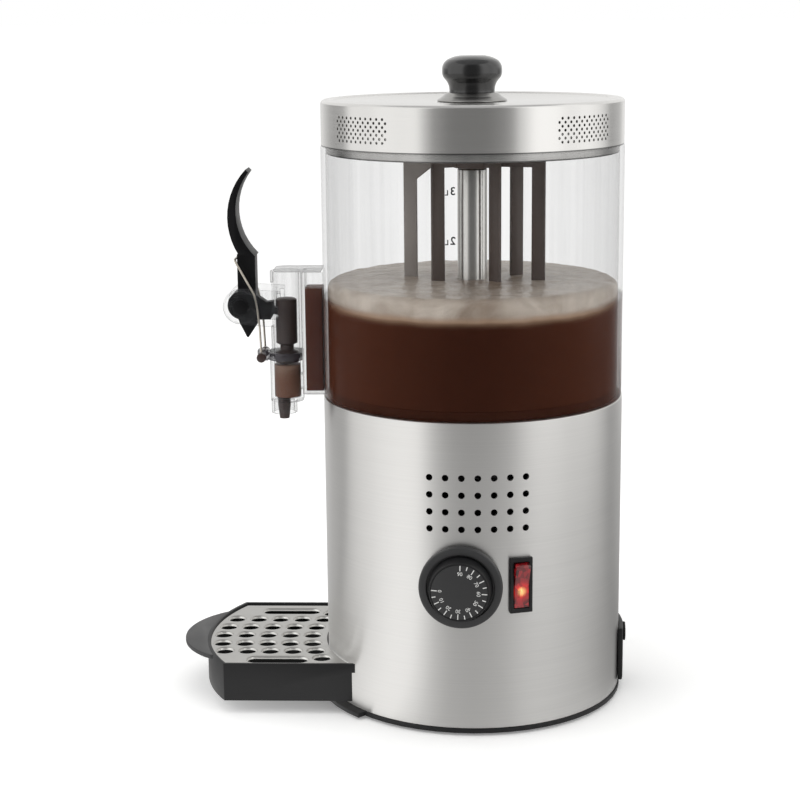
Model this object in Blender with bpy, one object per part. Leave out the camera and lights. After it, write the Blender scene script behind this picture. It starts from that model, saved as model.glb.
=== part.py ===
# Hot chocolate dispenser: steel base with heater and motor, clear tank with side tap,
# agitator, lid and drip tray. Front (tap and tray) is -Y, the controls face +X, +Z is up.
# The origin is on the drum's axis at the flat underside of the base plate.

import math

import bmesh
import bpy
from mathutils import Matrix, Vector

# Clearances and cuts
gap = 0.0003
running_gap = 0.0006
overrun = 0.004

# Facets round a circle
large_facets = 52
medium_facets = 24
small_facets = 12
dial_facets = 36
knob_facets = 26
vent_facets = 10
foot_facets = 16
edge_steps = 2
lid_edge_steps = 3
bend_steps = 4
rocker_steps = 5
slot_end_steps = 6
short_arc_steps = 8
ear_arc_steps = 16

# Base plate
base_thickness = 0.0029
base_rim_overhang = 0.0009
base_upstand_height = 0.0100
base_upstand_wall = 0.0020
base_lug_reach = 0.0056
base_lug_half_angle = math.radians(45)
base_boss_radius = 0.0050
base_boss_height = 0.0060

# Feet and their screws
foot_radius = 0.0090
foot_drop = 0.0018
foot_recess_depth = 0.0012
foot_inset = 0.0185
foot_azimuths = [math.radians(45), math.radians(135), math.radians(225), math.radians(315)]
foot_head_recess_depth = 0.0015
foot_screw_head_radius = 0.0040
foot_screw_head_height = 0.0008
foot_screw_shank_radius = 0.0018
foot_screw_shank_length = 0.0085

# Body shell
body_radius = 0.0975
body_wall = 0.0010
body_height = 0.1958
body_edge_radius = 0.0008
body_flange_width = 0.0050
vent_radius = 0.0018
vent_columns = 7
vent_rows = 4
vent_column_angle = math.radians(5.9)
vent_row_pitch = 0.0108
vent_middle_azimuth = math.radians(1.83)
vent_drop = 0.0342

# Support ring, heating plate, seal, heater and cut-out
support_ring_width = 0.0162
support_ring_height = 0.0077
plate_thickness = 0.0015
plate_rim_height = 0.0060
plate_rim_wall = 0.0012
seal_width = 0.0024
seal_height = 0.0057
heater_circle_radius = 0.0550
heater_tube_radius = 0.0040
heater_sweep = math.radians(300)
heater_bend_radius = 0.0070
heater_end_length = 0.0060
cutout_radius = 0.0080
cutout_height = 0.0063
cutout_offset = 0.0300

# Centre column with its nut and bush
column_radius = 0.0096
column_bore_radius = 0.0082
column_height = 0.1451
column_flange_radius = 0.0160
column_flange_thickness = 0.0015
column_spigot_length = 0.0085
column_nut_across_corners = 0.0300
column_nut_height = 0.0077
bush_length = 0.0080

# Drive line
shaft_radius = 0.0030
shaft_grip_in_hub = 0.0068
coupling_radius = 0.0075
coupling_length = 0.0200
coupling_drop = 0.0015
coupling_shaft_grip = 0.0040
coupling_output_grip = 0.0080
output_shaft_radius = 0.0040
output_shaft_in_gearbox = 0.0100
gearbox_length = 0.0550
gearbox_width = 0.0500
gearbox_height = 0.0260
gearbox_corner_radius = 0.0020
gearbox_offset = 0.0075
motor_radius = 0.0200
motor_length = 0.0397
motor_edge = 0.0010
motor_boss_radius = 0.0060
motor_boss_height = 0.0030
motor_offset = 0.0150
bracket_drop = 0.0017
bracket_thickness = 0.0020
bracket_hub_radius = 0.0340
bracket_hole_radius = 0.0090
bracket_arm_width = 0.0140
bracket_post_radius = 0.0050
bracket_post_inset = 0.0082
bracket_azimuths = [math.radians(90), math.radians(210), math.radians(330)]

# Thermostat with its dial
dial_azimuth = math.radians(-4.3)
dial_height = 0.0966
thermostat_radius = 0.0130
thermostat_depth = 0.0193
thermostat_neck_radius = 0.0043
thermostat_neck_proud = 0.0005
thermostat_floor = 0.0037
dial_stem_radius = 0.0030
dial_bore_depth = 0.0090
dial_skirt_radius = 0.0260
dial_skirt_height = 0.0050
dial_grip_radius = 0.0200
dial_grip_taper = 0.0014
dial_height_over_back = 0.0135
dial_edge = 0.0006

# Rocker switch
switch_azimuth = math.radians(17.5)
switch_height = 0.0963
switch_bezel_width = 0.0146
switch_bezel_height = 0.0355
switch_bezel_thickness = 0.0025
switch_body_width = 0.0126
switch_body_height = 0.0322
switch_body_depth = 0.0180
switch_wall = 0.0013
switch_end_wall = 0.0013
switch_well_depth = 0.0110
rocker_angle = math.radians(16)
rocker_back = 0.0040

# Terminal block, rear cover and cord gland
terminal_length = 0.0300
terminal_width = 0.0160
terminal_height = 0.0140
terminal_foot_distance = 0.01586
terminal_edge = 0.0010
cover_half_angle = math.radians(10)
cover_thickness = 0.0030
cover_bottom = 0.0055
cover_top = 0.0413
gland_azimuth = math.radians(90)
gland_height = 0.0340
gland_flange_radius = 0.0064
gland_flange_thickness = 0.0012
gland_neck_radius = 0.0051
gland_neck_length = 0.0080
gland_bore_radius = 0.0032

# Tank with its side duct
tank_step_in = 0.0005
tank_wall = 0.0030
tank_height = 0.1612
duct_half_width = 0.0116
duct_side_wall = 0.0022
duct_front_wall = 0.0023
duct_rear_wall = 0.0025
duct_floor = 0.0020
duct_reach = 0.0139
duct_height = 0.0802
inlet_half_width = 0.0080
inlet_rise = 0.0067
inlet_height = 0.0120
outlet_half_width = 0.0050
outlet_rise = 0.0022
outlet_height = 0.0095

# Tap body
tap_bore_radius = 0.0088
tap_upper_wall = 0.0014
tap_lower_wall = 0.0026
tap_rear_wall = 0.0016
tap_floor = 0.0022
tap_drop = 0.0055
tap_slot_half_width = 0.0048
tap_slot_below_pivot = 0.0150
tap_slot_above_pivot = 0.0140
spout_offset = 0.0026
spout_radius = 0.0086
spout_wall = 0.0016
spout_length = 0.0084
valve_hole_radius = 0.0046
ear_inner_x = 0.0130
ear_thickness = 0.0020
ear_radius = 0.0115
ear_web_thickness = 0.0030
ear_root_offset = 0.0020
ear_root_top = 0.0099
ear_root_bottom = 0.0140

# Tap cap
cap_half_width = 0.0120
cap_thickness = 0.0015
cap_front_reach = 0.0071
cap_corner = 0.0040

# Collar on the tap, spring bar and spring
collar_rise = 0.0277
collar_height = 0.0050
collar_wall = 0.0015
collar_boss_half_width = 0.0040
collar_boss_half_height = 0.0034
spring_bar_reach = 0.0157
spring_bar_radius = 0.0014
spring_barrel_radius = 0.0031
spring_barrel_inner_x = 0.0085
spring_barrel_outer_x = 0.0140
spring_wire_radius = 0.00075
spring_side_clearance = 0.00095
spring_corner_radius = 0.0030
spring_side_shares = [(0.0, 0.0), (0.044, 0.275), (0.125, 0.483), (0.256, 0.635)]

# Lever and its pin
pivot_reach = 0.0280
pivot_rise = 0.0587
pin_radius = 0.0025
pin_head_radius = 0.0050
pin_head_thickness = 0.0015
hub_radius = 0.0092
hub_half_width = 0.0098
lever_bar_half_width = 0.0065
lever_bar_front = 0.0026
lever_bar_rear = 0.0091
lever_bar_top = 0.0330
blade_half_width = 0.0102
blade_sweep = 0.0174
blade_length = 0.0548
blade_outer_shares = [(-0.069, 0.0055), (-0.4425, 0.4726), (0.2701, 1.0)]
blade_inner_shares = [(0.3736, 0.9653), (-0.1322, 0.4799), (0.5575, -0.0182)]
blade_arc_points = 12
tail_drop = 0.0213
tail_shares = [(-0.440, -0.282), (-0.187, -0.587), (0.297, -1.0), (0.407, -1.0), (1.055, -0.587),
               (1.0, 0.0)]
arm_half_width = 0.0040
arm_reach = 0.0200
arm_drop = 0.0102
arm_shares = [(0.0, -0.490), (0.525, -1.0), (0.9, -1.0), (1.0, -0.647), (1.0, 0.176), (0.775, 0.118),
              (0.325, 0.735), (0.0, 0.490)]
arm_shank_half_height = 0.0022
arm_shank_root_share = (0.75, -0.314)
nose_reach = 0.0256
nose_drop = 0.0055
nose_radius = 0.0032

# Plunger with its seal
piston_radius = 0.0070
piston_above_nose = 0.0095
piston_below_nose = 0.0205
piston_dome_height = 0.0015
piston_window_half_width = 0.0050
piston_window_clearance = 0.0006
piston_window_depth = 0.0090
seal_land_radius = 0.0076
seal_land_top_rise = 0.0300
seal_land_height = 0.0068
seal_groove_height = 0.0030
seal_groove_radius = 0.0066
plunger_neck_radius = 0.0045
valve_stem_radius = 0.0024
valve_plug_radius = 0.0042
valve_plug_tip_radius = 0.0032
valve_plug_above_floor = 0.0010
valve_plug_straight = 0.0070
valve_plug_length = 0.0156

# Lid
lid_step_in = 0.0004
lid_height = 0.0288
lid_wall = 0.0010
lid_edge_radius = 0.0025
lid_dish_depth = 0.0022
lid_rim_width = 0.0050
lid_ring_wall = 0.0012
lid_ring_flange = 0.0015
lid_ring_upstand = 0.0012
lid_spigot_depth = 0.0052
lid_spigot_clearance = 0.0005
lid_boss_radius = 0.0233
lid_boss_top_radius = 0.0163
lid_boss_height = 0.0053
knob_radius = 0.0186
knob_height = 0.0230
knob_bore_depth = 0.0080
knob_shares = [(0.78, 0.0), (0.75, 0.14), (0.80, 0.26), (0.92, 0.39), (0.985, 0.52), (1.0, 0.62),
               (0.97, 0.75), (0.89, 0.86), (0.76, 0.935), (0.51, 0.985), (0.0, 1.0)]
lid_screw_radius = 0.0025
lid_screw_head_radius = 0.0045
lid_screw_head_height = 0.0020

# Agitator
agitator_hub_radius = 0.0120
agitator_hub_height = 0.0108
agitator_arm_rise = 0.0006
agitator_arm_height = 0.0076
agitator_blade_thickness = 0.0029
agitator_gusset_width = 0.0110
agitator_gusset_height = 0.0085
blade_radial_width = 0.0086
scraper_rise = 0.0035
scraper_height = 0.0030
scraper_wall_clearance = 0.0060
scraper_overhang = 0.0070
scraper_ring_wall = 0.0040
scraper_ring_step = 0.0008
long_scraper_count = 2
braced_blade_count = 1
blade_azimuths = [math.radians(-102.5), math.radians(77), math.radians(-64), math.radians(116),
                  math.radians(45)]
blade_reach_shares = [0.4362, 0.4617, 0.2606, 0.3404, 0.2181]

# Drip tray
tray_reach = 0.0815
tray_half_width = 0.0629
tray_front_radius = 0.1200
tray_clearance = 0.0011
tray_lip_height = 0.0060
tray_lower_setback = 0.0016
tray_bottom = 0.0073
tray_height = 0.0253
tray_wall = 0.0035
tray_rim_wall = 0.0020
tray_floor = 0.0020
tray_arc_points = 18
handle_radius = 0.0555
handle_reach = 0.0156
handle_thickness = 0.0030
handle_root_depth = 0.0140
handle_drop = 0.0008
tongue_half_spread = 0.0300
tongue_width = 0.0120
tongue_thickness = 0.0030
tongue_rise = 0.0032
tongue_length = 0.0100

# Tray grille
grille_thickness = 0.0012
grille_drop = 0.0019
grille_hole_radius = 0.00475
grille_column_shares = [-0.5167, -0.2544, 0.0048, 0.2703, 0.5087]
grille_rows = 5
grille_row_pitch = 0.0151
grille_first_row = 0.0101
grille_row_radius = 0.1100
grille_extra_x = 0.0454
grille_extra_from_front = 0.0803
grille_slot_half_width = 0.0035
grille_slot_x = 0.0490
grille_slot_from_front = 0.0310
grille_slot_length = 0.0410

# Heights and radii that follow from the sizes above
base_rim_radius = body_radius + base_rim_overhang
foot_circle_radius = body_radius - foot_inset
terminal_reach = foot_circle_radius * math.cos(math.pi / 4) - terminal_foot_distance
body_inner_radius = body_radius - body_wall
body_bottom = base_thickness + gap
body_top = body_bottom + body_height
base_upstand_radius = body_inner_radius - gap
base_upstand_top = base_thickness + base_upstand_height
base_boss_top = base_thickness + base_boss_height
foot_screw_hole_radius = foot_screw_shank_radius + gap

tank_bottom = body_top + gap
tank_top = tank_bottom + tank_height
tank_radius = body_radius - tank_step_in
tank_inner_radius = tank_radius - tank_wall
duct_front = tank_radius + duct_reach
duct_rear = (tank_radius + tank_inner_radius) / 2
duct_top = tank_bottom + duct_height

seal_outer_radius = tank_inner_radius - gap
seal_inner_radius = seal_outer_radius - seal_width
plate_radius = seal_inner_radius - gap
plate_bottom = body_top - body_wall
plate_top = plate_bottom + plate_thickness
support_ring_top = plate_bottom - gap
support_ring_bottom = support_ring_top - support_ring_height
support_ring_inner_radius = base_upstand_radius - support_ring_width

column_flange_bottom = plate_top + gap
column_top = column_flange_bottom + column_height
column_bottom = plate_top - plate_thickness - column_spigot_length
hub_bottom = column_top + running_gap
shaft_top = hub_bottom + shaft_grip_in_hub
coupling_top = column_bottom - coupling_drop
coupling_bottom = coupling_top - coupling_length
shaft_bottom = coupling_top - coupling_shaft_grip
bracket_top = coupling_bottom - bracket_drop
bracket_bottom = bracket_top - bracket_thickness
gearbox_top = bracket_bottom - gap
gearbox_bottom = gearbox_top - gearbox_height
motor_top = gearbox_bottom - gap
output_shaft_bottom = gearbox_top - output_shaft_in_gearbox
output_shaft_top = coupling_bottom + coupling_output_grip

thermostat_face = math.sqrt(body_inner_radius ** 2 - thermostat_radius ** 2) - gap
thermostat_back = thermostat_face - thermostat_depth
thermostat_neck_end = body_radius + thermostat_neck_proud
dial_back = thermostat_neck_end + gap
dial_front = dial_back + dial_height_over_back
stem_inner_end = thermostat_back + thermostat_floor + gap
stem_outer_end = dial_back + dial_bore_depth - gap

bezel_back = body_radius + gap
bezel_front = bezel_back + switch_bezel_thickness
rocker_pivot = bezel_back
rocker_width = switch_body_width - switch_wall * 2 - gap * 2
rocker_well_half_height = switch_body_height / 2 - switch_end_wall
rocker_end_radius = rocker_well_half_height - gap

tap_bottom = tank_bottom - tap_drop
tap_floor_top = tap_bottom + tap_floor
tap_top = duct_top
tap_rear_y = -duct_front - gap
tap_axis_y = tap_rear_y - tap_rear_wall - tap_bore_radius
tap_upper_radius = tap_bore_radius + tap_upper_wall
tap_lower_radius = tap_bore_radius + tap_lower_wall
spout_y = tap_axis_y - spout_offset
spout_bottom = tap_bottom - spout_length
collar_bottom = tap_bottom + collar_rise
collar_top = collar_bottom + collar_height
collar_inner_radius = tap_lower_radius + gap
collar_outer_radius = collar_inner_radius + collar_wall
spring_bar_y = tap_axis_y - spring_bar_reach
spring_bar_z = (collar_bottom + collar_top) / 2
pivot_y = tap_axis_y - pivot_reach
pivot_z = tank_bottom + pivot_rise
pin_hole_radius = pin_radius + gap
ear_outer_x = ear_inner_x + ear_thickness
spring_x = hub_half_width + spring_side_clearance + spring_wire_radius

nose_y = pivot_y + nose_reach
nose_z = pivot_z - nose_drop
piston_top = nose_z + piston_above_nose
piston_bottom = nose_z - piston_below_nose
seal_land_top = tap_floor_top + seal_land_top_rise
seal_land_bottom = seal_land_top - seal_land_height
seal_groove_top = (seal_land_top + seal_land_bottom + seal_groove_height) / 2
seal_groove_bottom = seal_groove_top - seal_groove_height
valve_plug_top = tap_floor_top + valve_plug_above_floor

lid_radius = tank_radius - lid_step_in
lid_bottom = tank_top + gap
lid_top = lid_bottom + lid_height
lid_inner_radius = lid_radius - lid_wall
lid_dish_top = lid_top - lid_dish_depth
lid_screw_hole_radius = lid_screw_radius + gap
lid_boss_bottom = lid_dish_top + gap
lid_boss_top = lid_boss_bottom + lid_boss_height
knob_bottom = lid_boss_top + gap

tray_top = tray_bottom + tray_height
tray_front = body_radius + tray_reach
tray_rear_radius = body_radius + tray_clearance
tray_lower_rear_radius = tray_rear_radius + tray_lower_setback
grille_top = tray_top - grille_drop
grille_bottom = grille_top - grille_thickness
tray_seat = grille_bottom - gap
tongue_bottom = tray_bottom + tongue_rise
tongue_top = tongue_bottom + tongue_thickness

# Colour, roughness, metallic value and transmission of each finish
finishes = {
    "brushed_steel": ((0.62, 0.62, 0.61), 0.32, 1.0, 0.0),
    "plain_steel": ((0.45, 0.45, 0.46), 0.40, 1.0, 0.0),
    "aluminium": ((0.70, 0.70, 0.70), 0.45, 1.0, 0.0),
    "black_plastic": ((0.020, 0.020, 0.022), 0.45, 0.0, 0.0),
    "dark_plastic": ((0.050, 0.050, 0.055), 0.35, 0.0, 0.0),
    "brown_plastic": ((0.060, 0.038, 0.030), 0.40, 0.0, 0.0),
    "pale_plastic": ((0.75, 0.74, 0.70), 0.50, 0.0, 0.0),
    "red_lens": ((0.65, 0.02, 0.01), 0.15, 0.0, 0.4),
    "clear_plastic": ((0.95, 0.96, 0.96), 0.04, 0.0, 0.9),
    "rubber": ((0.030, 0.030, 0.030), 0.80, 0.0, 0.0),
    "silicone": ((0.70, 0.68, 0.64), 0.60, 0.0, 0.0),
    "brass": ((0.60, 0.45, 0.18), 0.35, 1.0, 0.0),
}

# Turns a profile drawn in local X and Y so that it stands in the YZ plane, with its depth along X
side_frame = Matrix(((0, 0, 1, 0), (1, 0, 0, 0), (0, 1, 0, 0), (0, 0, 0, 1)))
upright = Matrix.Identity(4)


def shifted(x, y, z):
    return Matrix.Translation((x, y, z))


# Local X runs round the drum, Y is up and Z points outward from the drum's axis
def radial_frame(azimuth, height):
    outward = Vector((math.cos(azimuth), math.sin(azimuth), 0))
    around = Vector((-math.sin(azimuth), math.cos(azimuth), 0))
    frame = Matrix.Identity(4)
    frame.col[0].xyz = around
    frame.col[1].xyz = (0, 0, 1)
    frame.col[2].xyz = outward
    frame.col[3].xyz = (0, 0, height)
    return frame


def polar(radius, azimuth):
    return (radius * math.cos(azimuth), radius * math.sin(azimuth))


# Points of an arc, ends included
def arc(centre, radius, start, end, steps):
    points = []
    for step in range(steps + 1):
        angle = start + (end - start) * step / steps
        along, up = polar(radius, angle)
        points.append((centre[0] + along, centre[1] + up))
    return points


# Points of the arc that runs through three places
def arc_through(first, middle, last, steps):
    (ax, ay), (bx, by), (cx, cy) = first, middle, last
    twice_area = 2 * (ax * (by - cy) + bx * (cy - ay) + cx * (ay - by))
    a_sum = ax * ax + ay * ay
    b_sum = bx * bx + by * by
    c_sum = cx * cx + cy * cy
    centre_x = (a_sum * (by - cy) + b_sum * (cy - ay) + c_sum * (ay - by)) / twice_area
    centre_y = (a_sum * (cx - bx) + b_sum * (ax - cx) + c_sum * (bx - ax)) / twice_area
    radius = math.hypot(ax - centre_x, ay - centre_y)
    start = math.atan2(ay - centre_y, ax - centre_x)
    end = math.atan2(cy - centre_y, cx - centre_x)
    turn = (end - start + math.pi) % (2 * math.pi) - math.pi
    return arc((centre_x, centre_y), radius, start, start + turn, steps)


# A closed outline of radius and height, turned about the local Z axis
def turned(outline, facets):
    shape = bmesh.new()
    rings = []
    for radius, height in outline:
        if radius == 0:
            rings.append([shape.verts.new((0, 0, height))] * facets)
            continue
        angles = [2 * math.pi * facet / facets for facet in range(facets)]
        rings.append([shape.verts.new((*polar(radius, angle), height)) for angle in angles])
    for place, (radius, height) in enumerate(outline):
        following = (place + 1) % len(outline)
        next_radius, next_height = outline[following]
        if height == next_height and 0 in (radius, next_radius):
            if radius or next_radius:
                shape.faces.new(rings[place] if radius else rings[following])
            continue
        for here in range(facets):
            there = (here + 1) % facets
            corners = [rings[place][here], rings[place][there],
                       rings[following][there], rings[following][here]]
            corners = list(dict.fromkeys(corners))
            if len(corners) > 2:
                shape.faces.new(corners)
    loose = [corner for corner in shape.verts if not corner.link_faces]
    bmesh.ops.delete(shape, geom=loose, context="VERTS")
    bmesh.ops.recalc_face_normals(shape, faces=shape.faces)
    return shape


# A closed outline in local X and Y, raised from low to high along local Z
def extruded(outline, low, high):
    shape = bmesh.new()
    floor = [shape.verts.new((x, y, low)) for x, y in outline]
    roof = [shape.verts.new((x, y, high)) for x, y in outline]
    shape.faces.new(floor)
    shape.faces.new(roof)
    count = len(outline)
    for here in range(count):
        there = (here + 1) % count
        shape.faces.new((floor[here], floor[there], roof[there], roof[here]))
    bmesh.ops.recalc_face_normals(shape, faces=shape.faces)
    return shape


def block(low, high):
    corners = [(low[0], low[1]), (high[0], low[1]), (high[0], high[1]), (low[0], high[1])]
    return extruded(corners, low[2], high[2])


def disc(radius, low, high, facets):
    return turned([(0, low), (radius, low), (radius, high), (0, high)], facets)


def tube(inner, outer, low, high, facets):
    return turned([(inner, low), (outer, low), (outer, high), (inner, high)], facets)


def moved(shape, matrix):
    shape.transform(matrix)
    return shape


# Several shapes that don't touch, as one mesh
def gathered(shapes):
    whole = bmesh.new()
    for shape in shapes:
        mesh = bpy.data.meshes.new("gathered")
        shape.to_mesh(mesh)
        shape.free()
        whole.from_mesh(mesh)
        bpy.data.meshes.remove(mesh)
    return whole


def finish(name, kind):
    colour, roughness, metallic, transmission = finishes[kind]
    material = bpy.data.materials.new(name + "_finish")
    material.use_nodes = True
    shader = material.node_tree.nodes["Principled BSDF"]
    shader.inputs["Base Color"].default_value = (*colour, 1)
    shader.inputs["Roughness"].default_value = roughness
    shader.inputs["Metallic"].default_value = metallic
    shader.inputs["Transmission Weight"].default_value = transmission
    material.diffuse_color = (*colour, 1)
    return material


def mesh_of(name, shape):
    mesh = bpy.data.meshes.new(name)
    shape.to_mesh(mesh)
    shape.free()
    mesh.shade_smooth()
    mesh.set_sharp_from_angle(angle=math.radians(30))
    return mesh


# Hangs an object on a carrier and leaves it where it is
def hang(thing, carrier):
    if carrier is not None:
        bpy.context.view_layer.update()
        thing.parent = carrier
        thing.matrix_parent_inverse = carrier.matrix_world.inverted()


def add(name, shape, kind, carrier=None, frame=upright):
    mesh = mesh_of(name, shape)
    mesh.materials.append(finish(name, kind))
    part = bpy.data.objects.new(name, mesh)
    bpy.context.scene.collection.objects.link(part)
    part.matrix_world = frame
    hang(part, carrier)
    return part


# An empty on a joint's axis that carries what moves there
def axis_empty(name, place, carrier=None):
    empty = bpy.data.objects.new(name, None)
    bpy.context.scene.collection.objects.link(empty)
    empty.location = place
    hang(empty, carrier)
    return empty


# Cuts or joins a shape that is drawn in the part's own frame
def combine(part, shape, operation):
    guide = bpy.data.objects.new(f"{part.name}_guide_{len(part.modifiers) + 1}", mesh_of("guide", shape))
    bpy.context.scene.collection.objects.link(guide)
    guide.parent = part
    guide.hide_render = True
    guide.display_type = "WIRE"
    modifier = part.modifiers.new(operation.lower(), "BOOLEAN")
    modifier.operation = operation
    modifier.solver = "EXACT"
    modifier.object = guide


def cut(part, shape):
    combine(part, shape, "DIFFERENCE")


def join(part, shape):
    combine(part, shape, "UNION")


def soften(part, width, segments):
    bevel = part.modifiers.new("edges", "BEVEL")
    bevel.width = width
    bevel.segments = segments
    bevel.limit_method = "ANGLE"


# A wire or tube along a list of places, with closed ends
def add_wire(name, places, radius, resolution, kind, carrier=None):
    curve = bpy.data.curves.new(name, "CURVE")
    curve.dimensions = "3D"
    curve.bevel_depth = radius
    curve.bevel_resolution = resolution
    curve.use_fill_caps = True
    spline = curve.splines.new("POLY")
    spline.points.add(len(places) - 1)
    for point, place in zip(spline.points, places):
        point.co = (*place, 1)
    wire = bpy.data.objects.new(name, curve)
    bpy.context.scene.collection.objects.link(wire)
    curve.materials.append(finish(name, kind))
    hang(wire, carrier)
    return wire


def foot_frames():
    return [shifted(*polar(foot_circle_radius, azimuth), 0) for azimuth in foot_azimuths]


# Places of the two tray tongues on either side of the middle
tongue_sides = (-1, 1)


def tongue_block(clearance, front_y, rear_y):
    shapes = []
    for side in tongue_sides:
        middle = side * tongue_half_spread
        half = tongue_width / 2 + clearance
        low = (middle - half, front_y, tongue_bottom - clearance)
        high = (middle + half, rear_y, tongue_top + clearance)
        shapes.append(block(low, high))
    return gathered(shapes)


def make_base_plate():
    outline = [(0, 0), (base_rim_radius, 0), (base_rim_radius, base_thickness),
               (base_upstand_radius, base_thickness), (base_upstand_radius, base_upstand_top),
               (base_upstand_radius - base_upstand_wall, base_upstand_top),
               (base_upstand_radius - base_upstand_wall, base_thickness), (0, base_thickness)]
    plate = add("base_plate", turned(outline, large_facets), "black_plastic")
    front = -math.pi / 2
    start = front - base_lug_half_angle
    end = front + base_lug_half_angle
    steps = large_facets // 4
    lug = arc((0, 0), base_rim_radius + base_lug_reach, start, end, steps)
    lug += arc((0, 0), foot_circle_radius, end, start, steps)
    join(plate, extruded(lug, 0, base_thickness))
    bosses = []
    holes = []
    for frame in foot_frames():
        bosses.append(moved(disc(base_boss_radius, 0, base_boss_top, foot_facets), frame))
        recess = foot_radius + gap
        hole = [(0, -overrun), (recess, -overrun), (recess, foot_recess_depth),
                (foot_screw_hole_radius, foot_recess_depth),
                (foot_screw_hole_radius, base_boss_top + overrun), (0, base_boss_top + overrun)]
        holes.append(moved(turned(hole, foot_facets), frame))
    join(plate, gathered(bosses))
    cut(plate, gathered(holes))
    notch_rear = tongue_length - body_radius
    cut(plate, tongue_block(gap, -body_radius, notch_rear))


def make_feet():
    screw_head_recess = foot_screw_head_radius + gap
    recess_top = foot_head_recess_depth - foot_drop
    outline = [(screw_head_recess, -foot_drop), (foot_radius, -foot_drop),
               (foot_radius, foot_recess_depth - gap),
               (foot_screw_hole_radius, foot_recess_depth - gap),
               (foot_screw_hole_radius, recess_top), (screw_head_recess, recess_top)]
    head_top = recess_top - gap
    head_bottom = head_top - foot_screw_head_height
    shank_top = head_top + foot_screw_shank_length
    screw = [(0, head_bottom), (foot_screw_head_radius, head_bottom),
             (foot_screw_head_radius, head_top), (foot_screw_shank_radius, head_top),
             (foot_screw_shank_radius, shank_top), (0, shank_top)]
    for number, frame in enumerate(foot_frames(), 1):
        add(f"foot_{number}", turned(outline, foot_facets), "rubber", None, frame)
        add(f"foot_screw_{number}", turned(screw, small_facets), "plain_steel", None, frame)


def make_body_shell():
    corner = (body_radius - body_edge_radius, body_top - body_edge_radius)
    opening = body_radius - body_flange_width
    outline = [(body_radius, body_bottom)]
    outline += arc(corner, body_edge_radius, 0, math.pi / 2, edge_steps)
    outline += [(opening, body_top), (opening, body_top - body_wall),
                (body_inner_radius, body_top - body_wall), (body_inner_radius, body_bottom)]
    shell = add("body_shell", turned(outline, large_facets), "brushed_steel")
    wall_inside = body_inner_radius - overrun
    wall_outside = body_radius + overrun
    vents = []
    for row in range(vent_rows):
        for column in range(vent_columns):
            step = column - (vent_columns - 1) / 2
            azimuth = vent_middle_azimuth + vent_column_angle * step
            frame = radial_frame(azimuth, body_top - vent_drop - vent_row_pitch * row)
            vents.append(moved(disc(vent_radius, wall_inside, wall_outside, vent_facets), frame))
    cut(shell, gathered(vents))
    stem_hole = disc(thermostat_neck_radius + gap, wall_inside, wall_outside, small_facets)
    cut(shell, moved(stem_hole, radial_frame(dial_azimuth, dial_height)))
    half_width = switch_body_width / 2 + gap
    half_height = switch_body_height / 2 + gap
    window = block((-half_width, -half_height, wall_inside), (half_width, half_height, wall_outside))
    cut(shell, moved(window, radial_frame(switch_azimuth, switch_height)))
    gland_hole = disc(gland_neck_radius + gap, wall_inside, wall_outside, small_facets)
    cut(shell, moved(gland_hole, radial_frame(gland_azimuth, gland_height)))
    cut(shell, tongue_block(gap, -body_radius - overrun, tongue_length - body_radius))


def make_heating():
    add("support_ring", tube(support_ring_inner_radius, base_upstand_radius, support_ring_bottom,
                             support_ring_top, large_facets), "plain_steel")
    rim_inside = plate_radius - plate_rim_wall
    rim_top = plate_bottom + plate_rim_height
    hole = column_radius + gap
    outline = [(hole, plate_bottom), (plate_radius, plate_bottom), (plate_radius, rim_top),
               (rim_inside, rim_top), (rim_inside, plate_top), (hole, plate_top)]
    add("heating_plate", turned(outline, large_facets), "brushed_steel")
    add("tank_seal", tube(seal_inner_radius, seal_outer_radius, tank_bottom,
                          tank_bottom + seal_height, large_facets), "silicone")
    make_heater()
    cutout_top = plate_bottom - gap
    cutout = disc(cutout_radius, cutout_top - cutout_height, cutout_top, medium_facets)
    add("thermal_cutout", cutout, "pale_plastic", None, shifted(-cutout_offset, 0, 0))


# The heater is a ring of tube under the plate whose two ends bend down
def make_heater():
    height = plate_bottom - gap - heater_tube_radius
    start = math.pi - heater_sweep / 2
    steps = medium_facets
    ring = []
    for step in range(steps + 1):
        azimuth = start + heater_sweep * step / steps
        ring.append(Vector((*polar(heater_circle_radius, azimuth), height)))
    first_way = (ring[0] - ring[1]).normalized()
    last_way = (ring[-1] - ring[-2]).normalized()
    places = heater_end(ring[0], first_way)[::-1] + ring[1:-1] + heater_end(ring[-1], last_way)
    add_wire("heater_ring", places, heater_tube_radius, 1, "plain_steel")


def heater_end(place, way):
    down = Vector((0, 0, -1))
    places = []
    for along, fall in arc((0, heater_bend_radius), heater_bend_radius, -math.pi / 2, 0, bend_steps):
        places.append(place + way * along + down * fall)
    places.append(places[-1] + down * heater_end_length)
    return places


def make_column():
    outline = [(column_bore_radius, column_bottom), (column_radius, column_bottom),
               (column_radius, column_flange_bottom), (column_flange_radius, column_flange_bottom),
               (column_flange_radius, column_flange_bottom + column_flange_thickness),
               (column_radius, column_flange_bottom + column_flange_thickness),
               (column_radius, column_top), (column_bore_radius, column_top)]
    add("center_column", turned(outline, medium_facets), "brushed_steel")
    nut_top = plate_bottom - gap
    hexagon = arc((0, 0), column_nut_across_corners / 2, 0, math.pi * 5 / 3, 5)
    nut = add("column_nut", extruded(hexagon, nut_top - column_nut_height, nut_top), "plain_steel")
    nut_hole = disc(column_radius + gap, nut_top - column_nut_height - overrun, nut_top + overrun,
                    medium_facets)
    cut(nut, nut_hole)
    add("shaft_bush", tube(shaft_radius + gap, column_bore_radius - gap, column_top - bush_length,
                           column_top, medium_facets), "brass")


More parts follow.
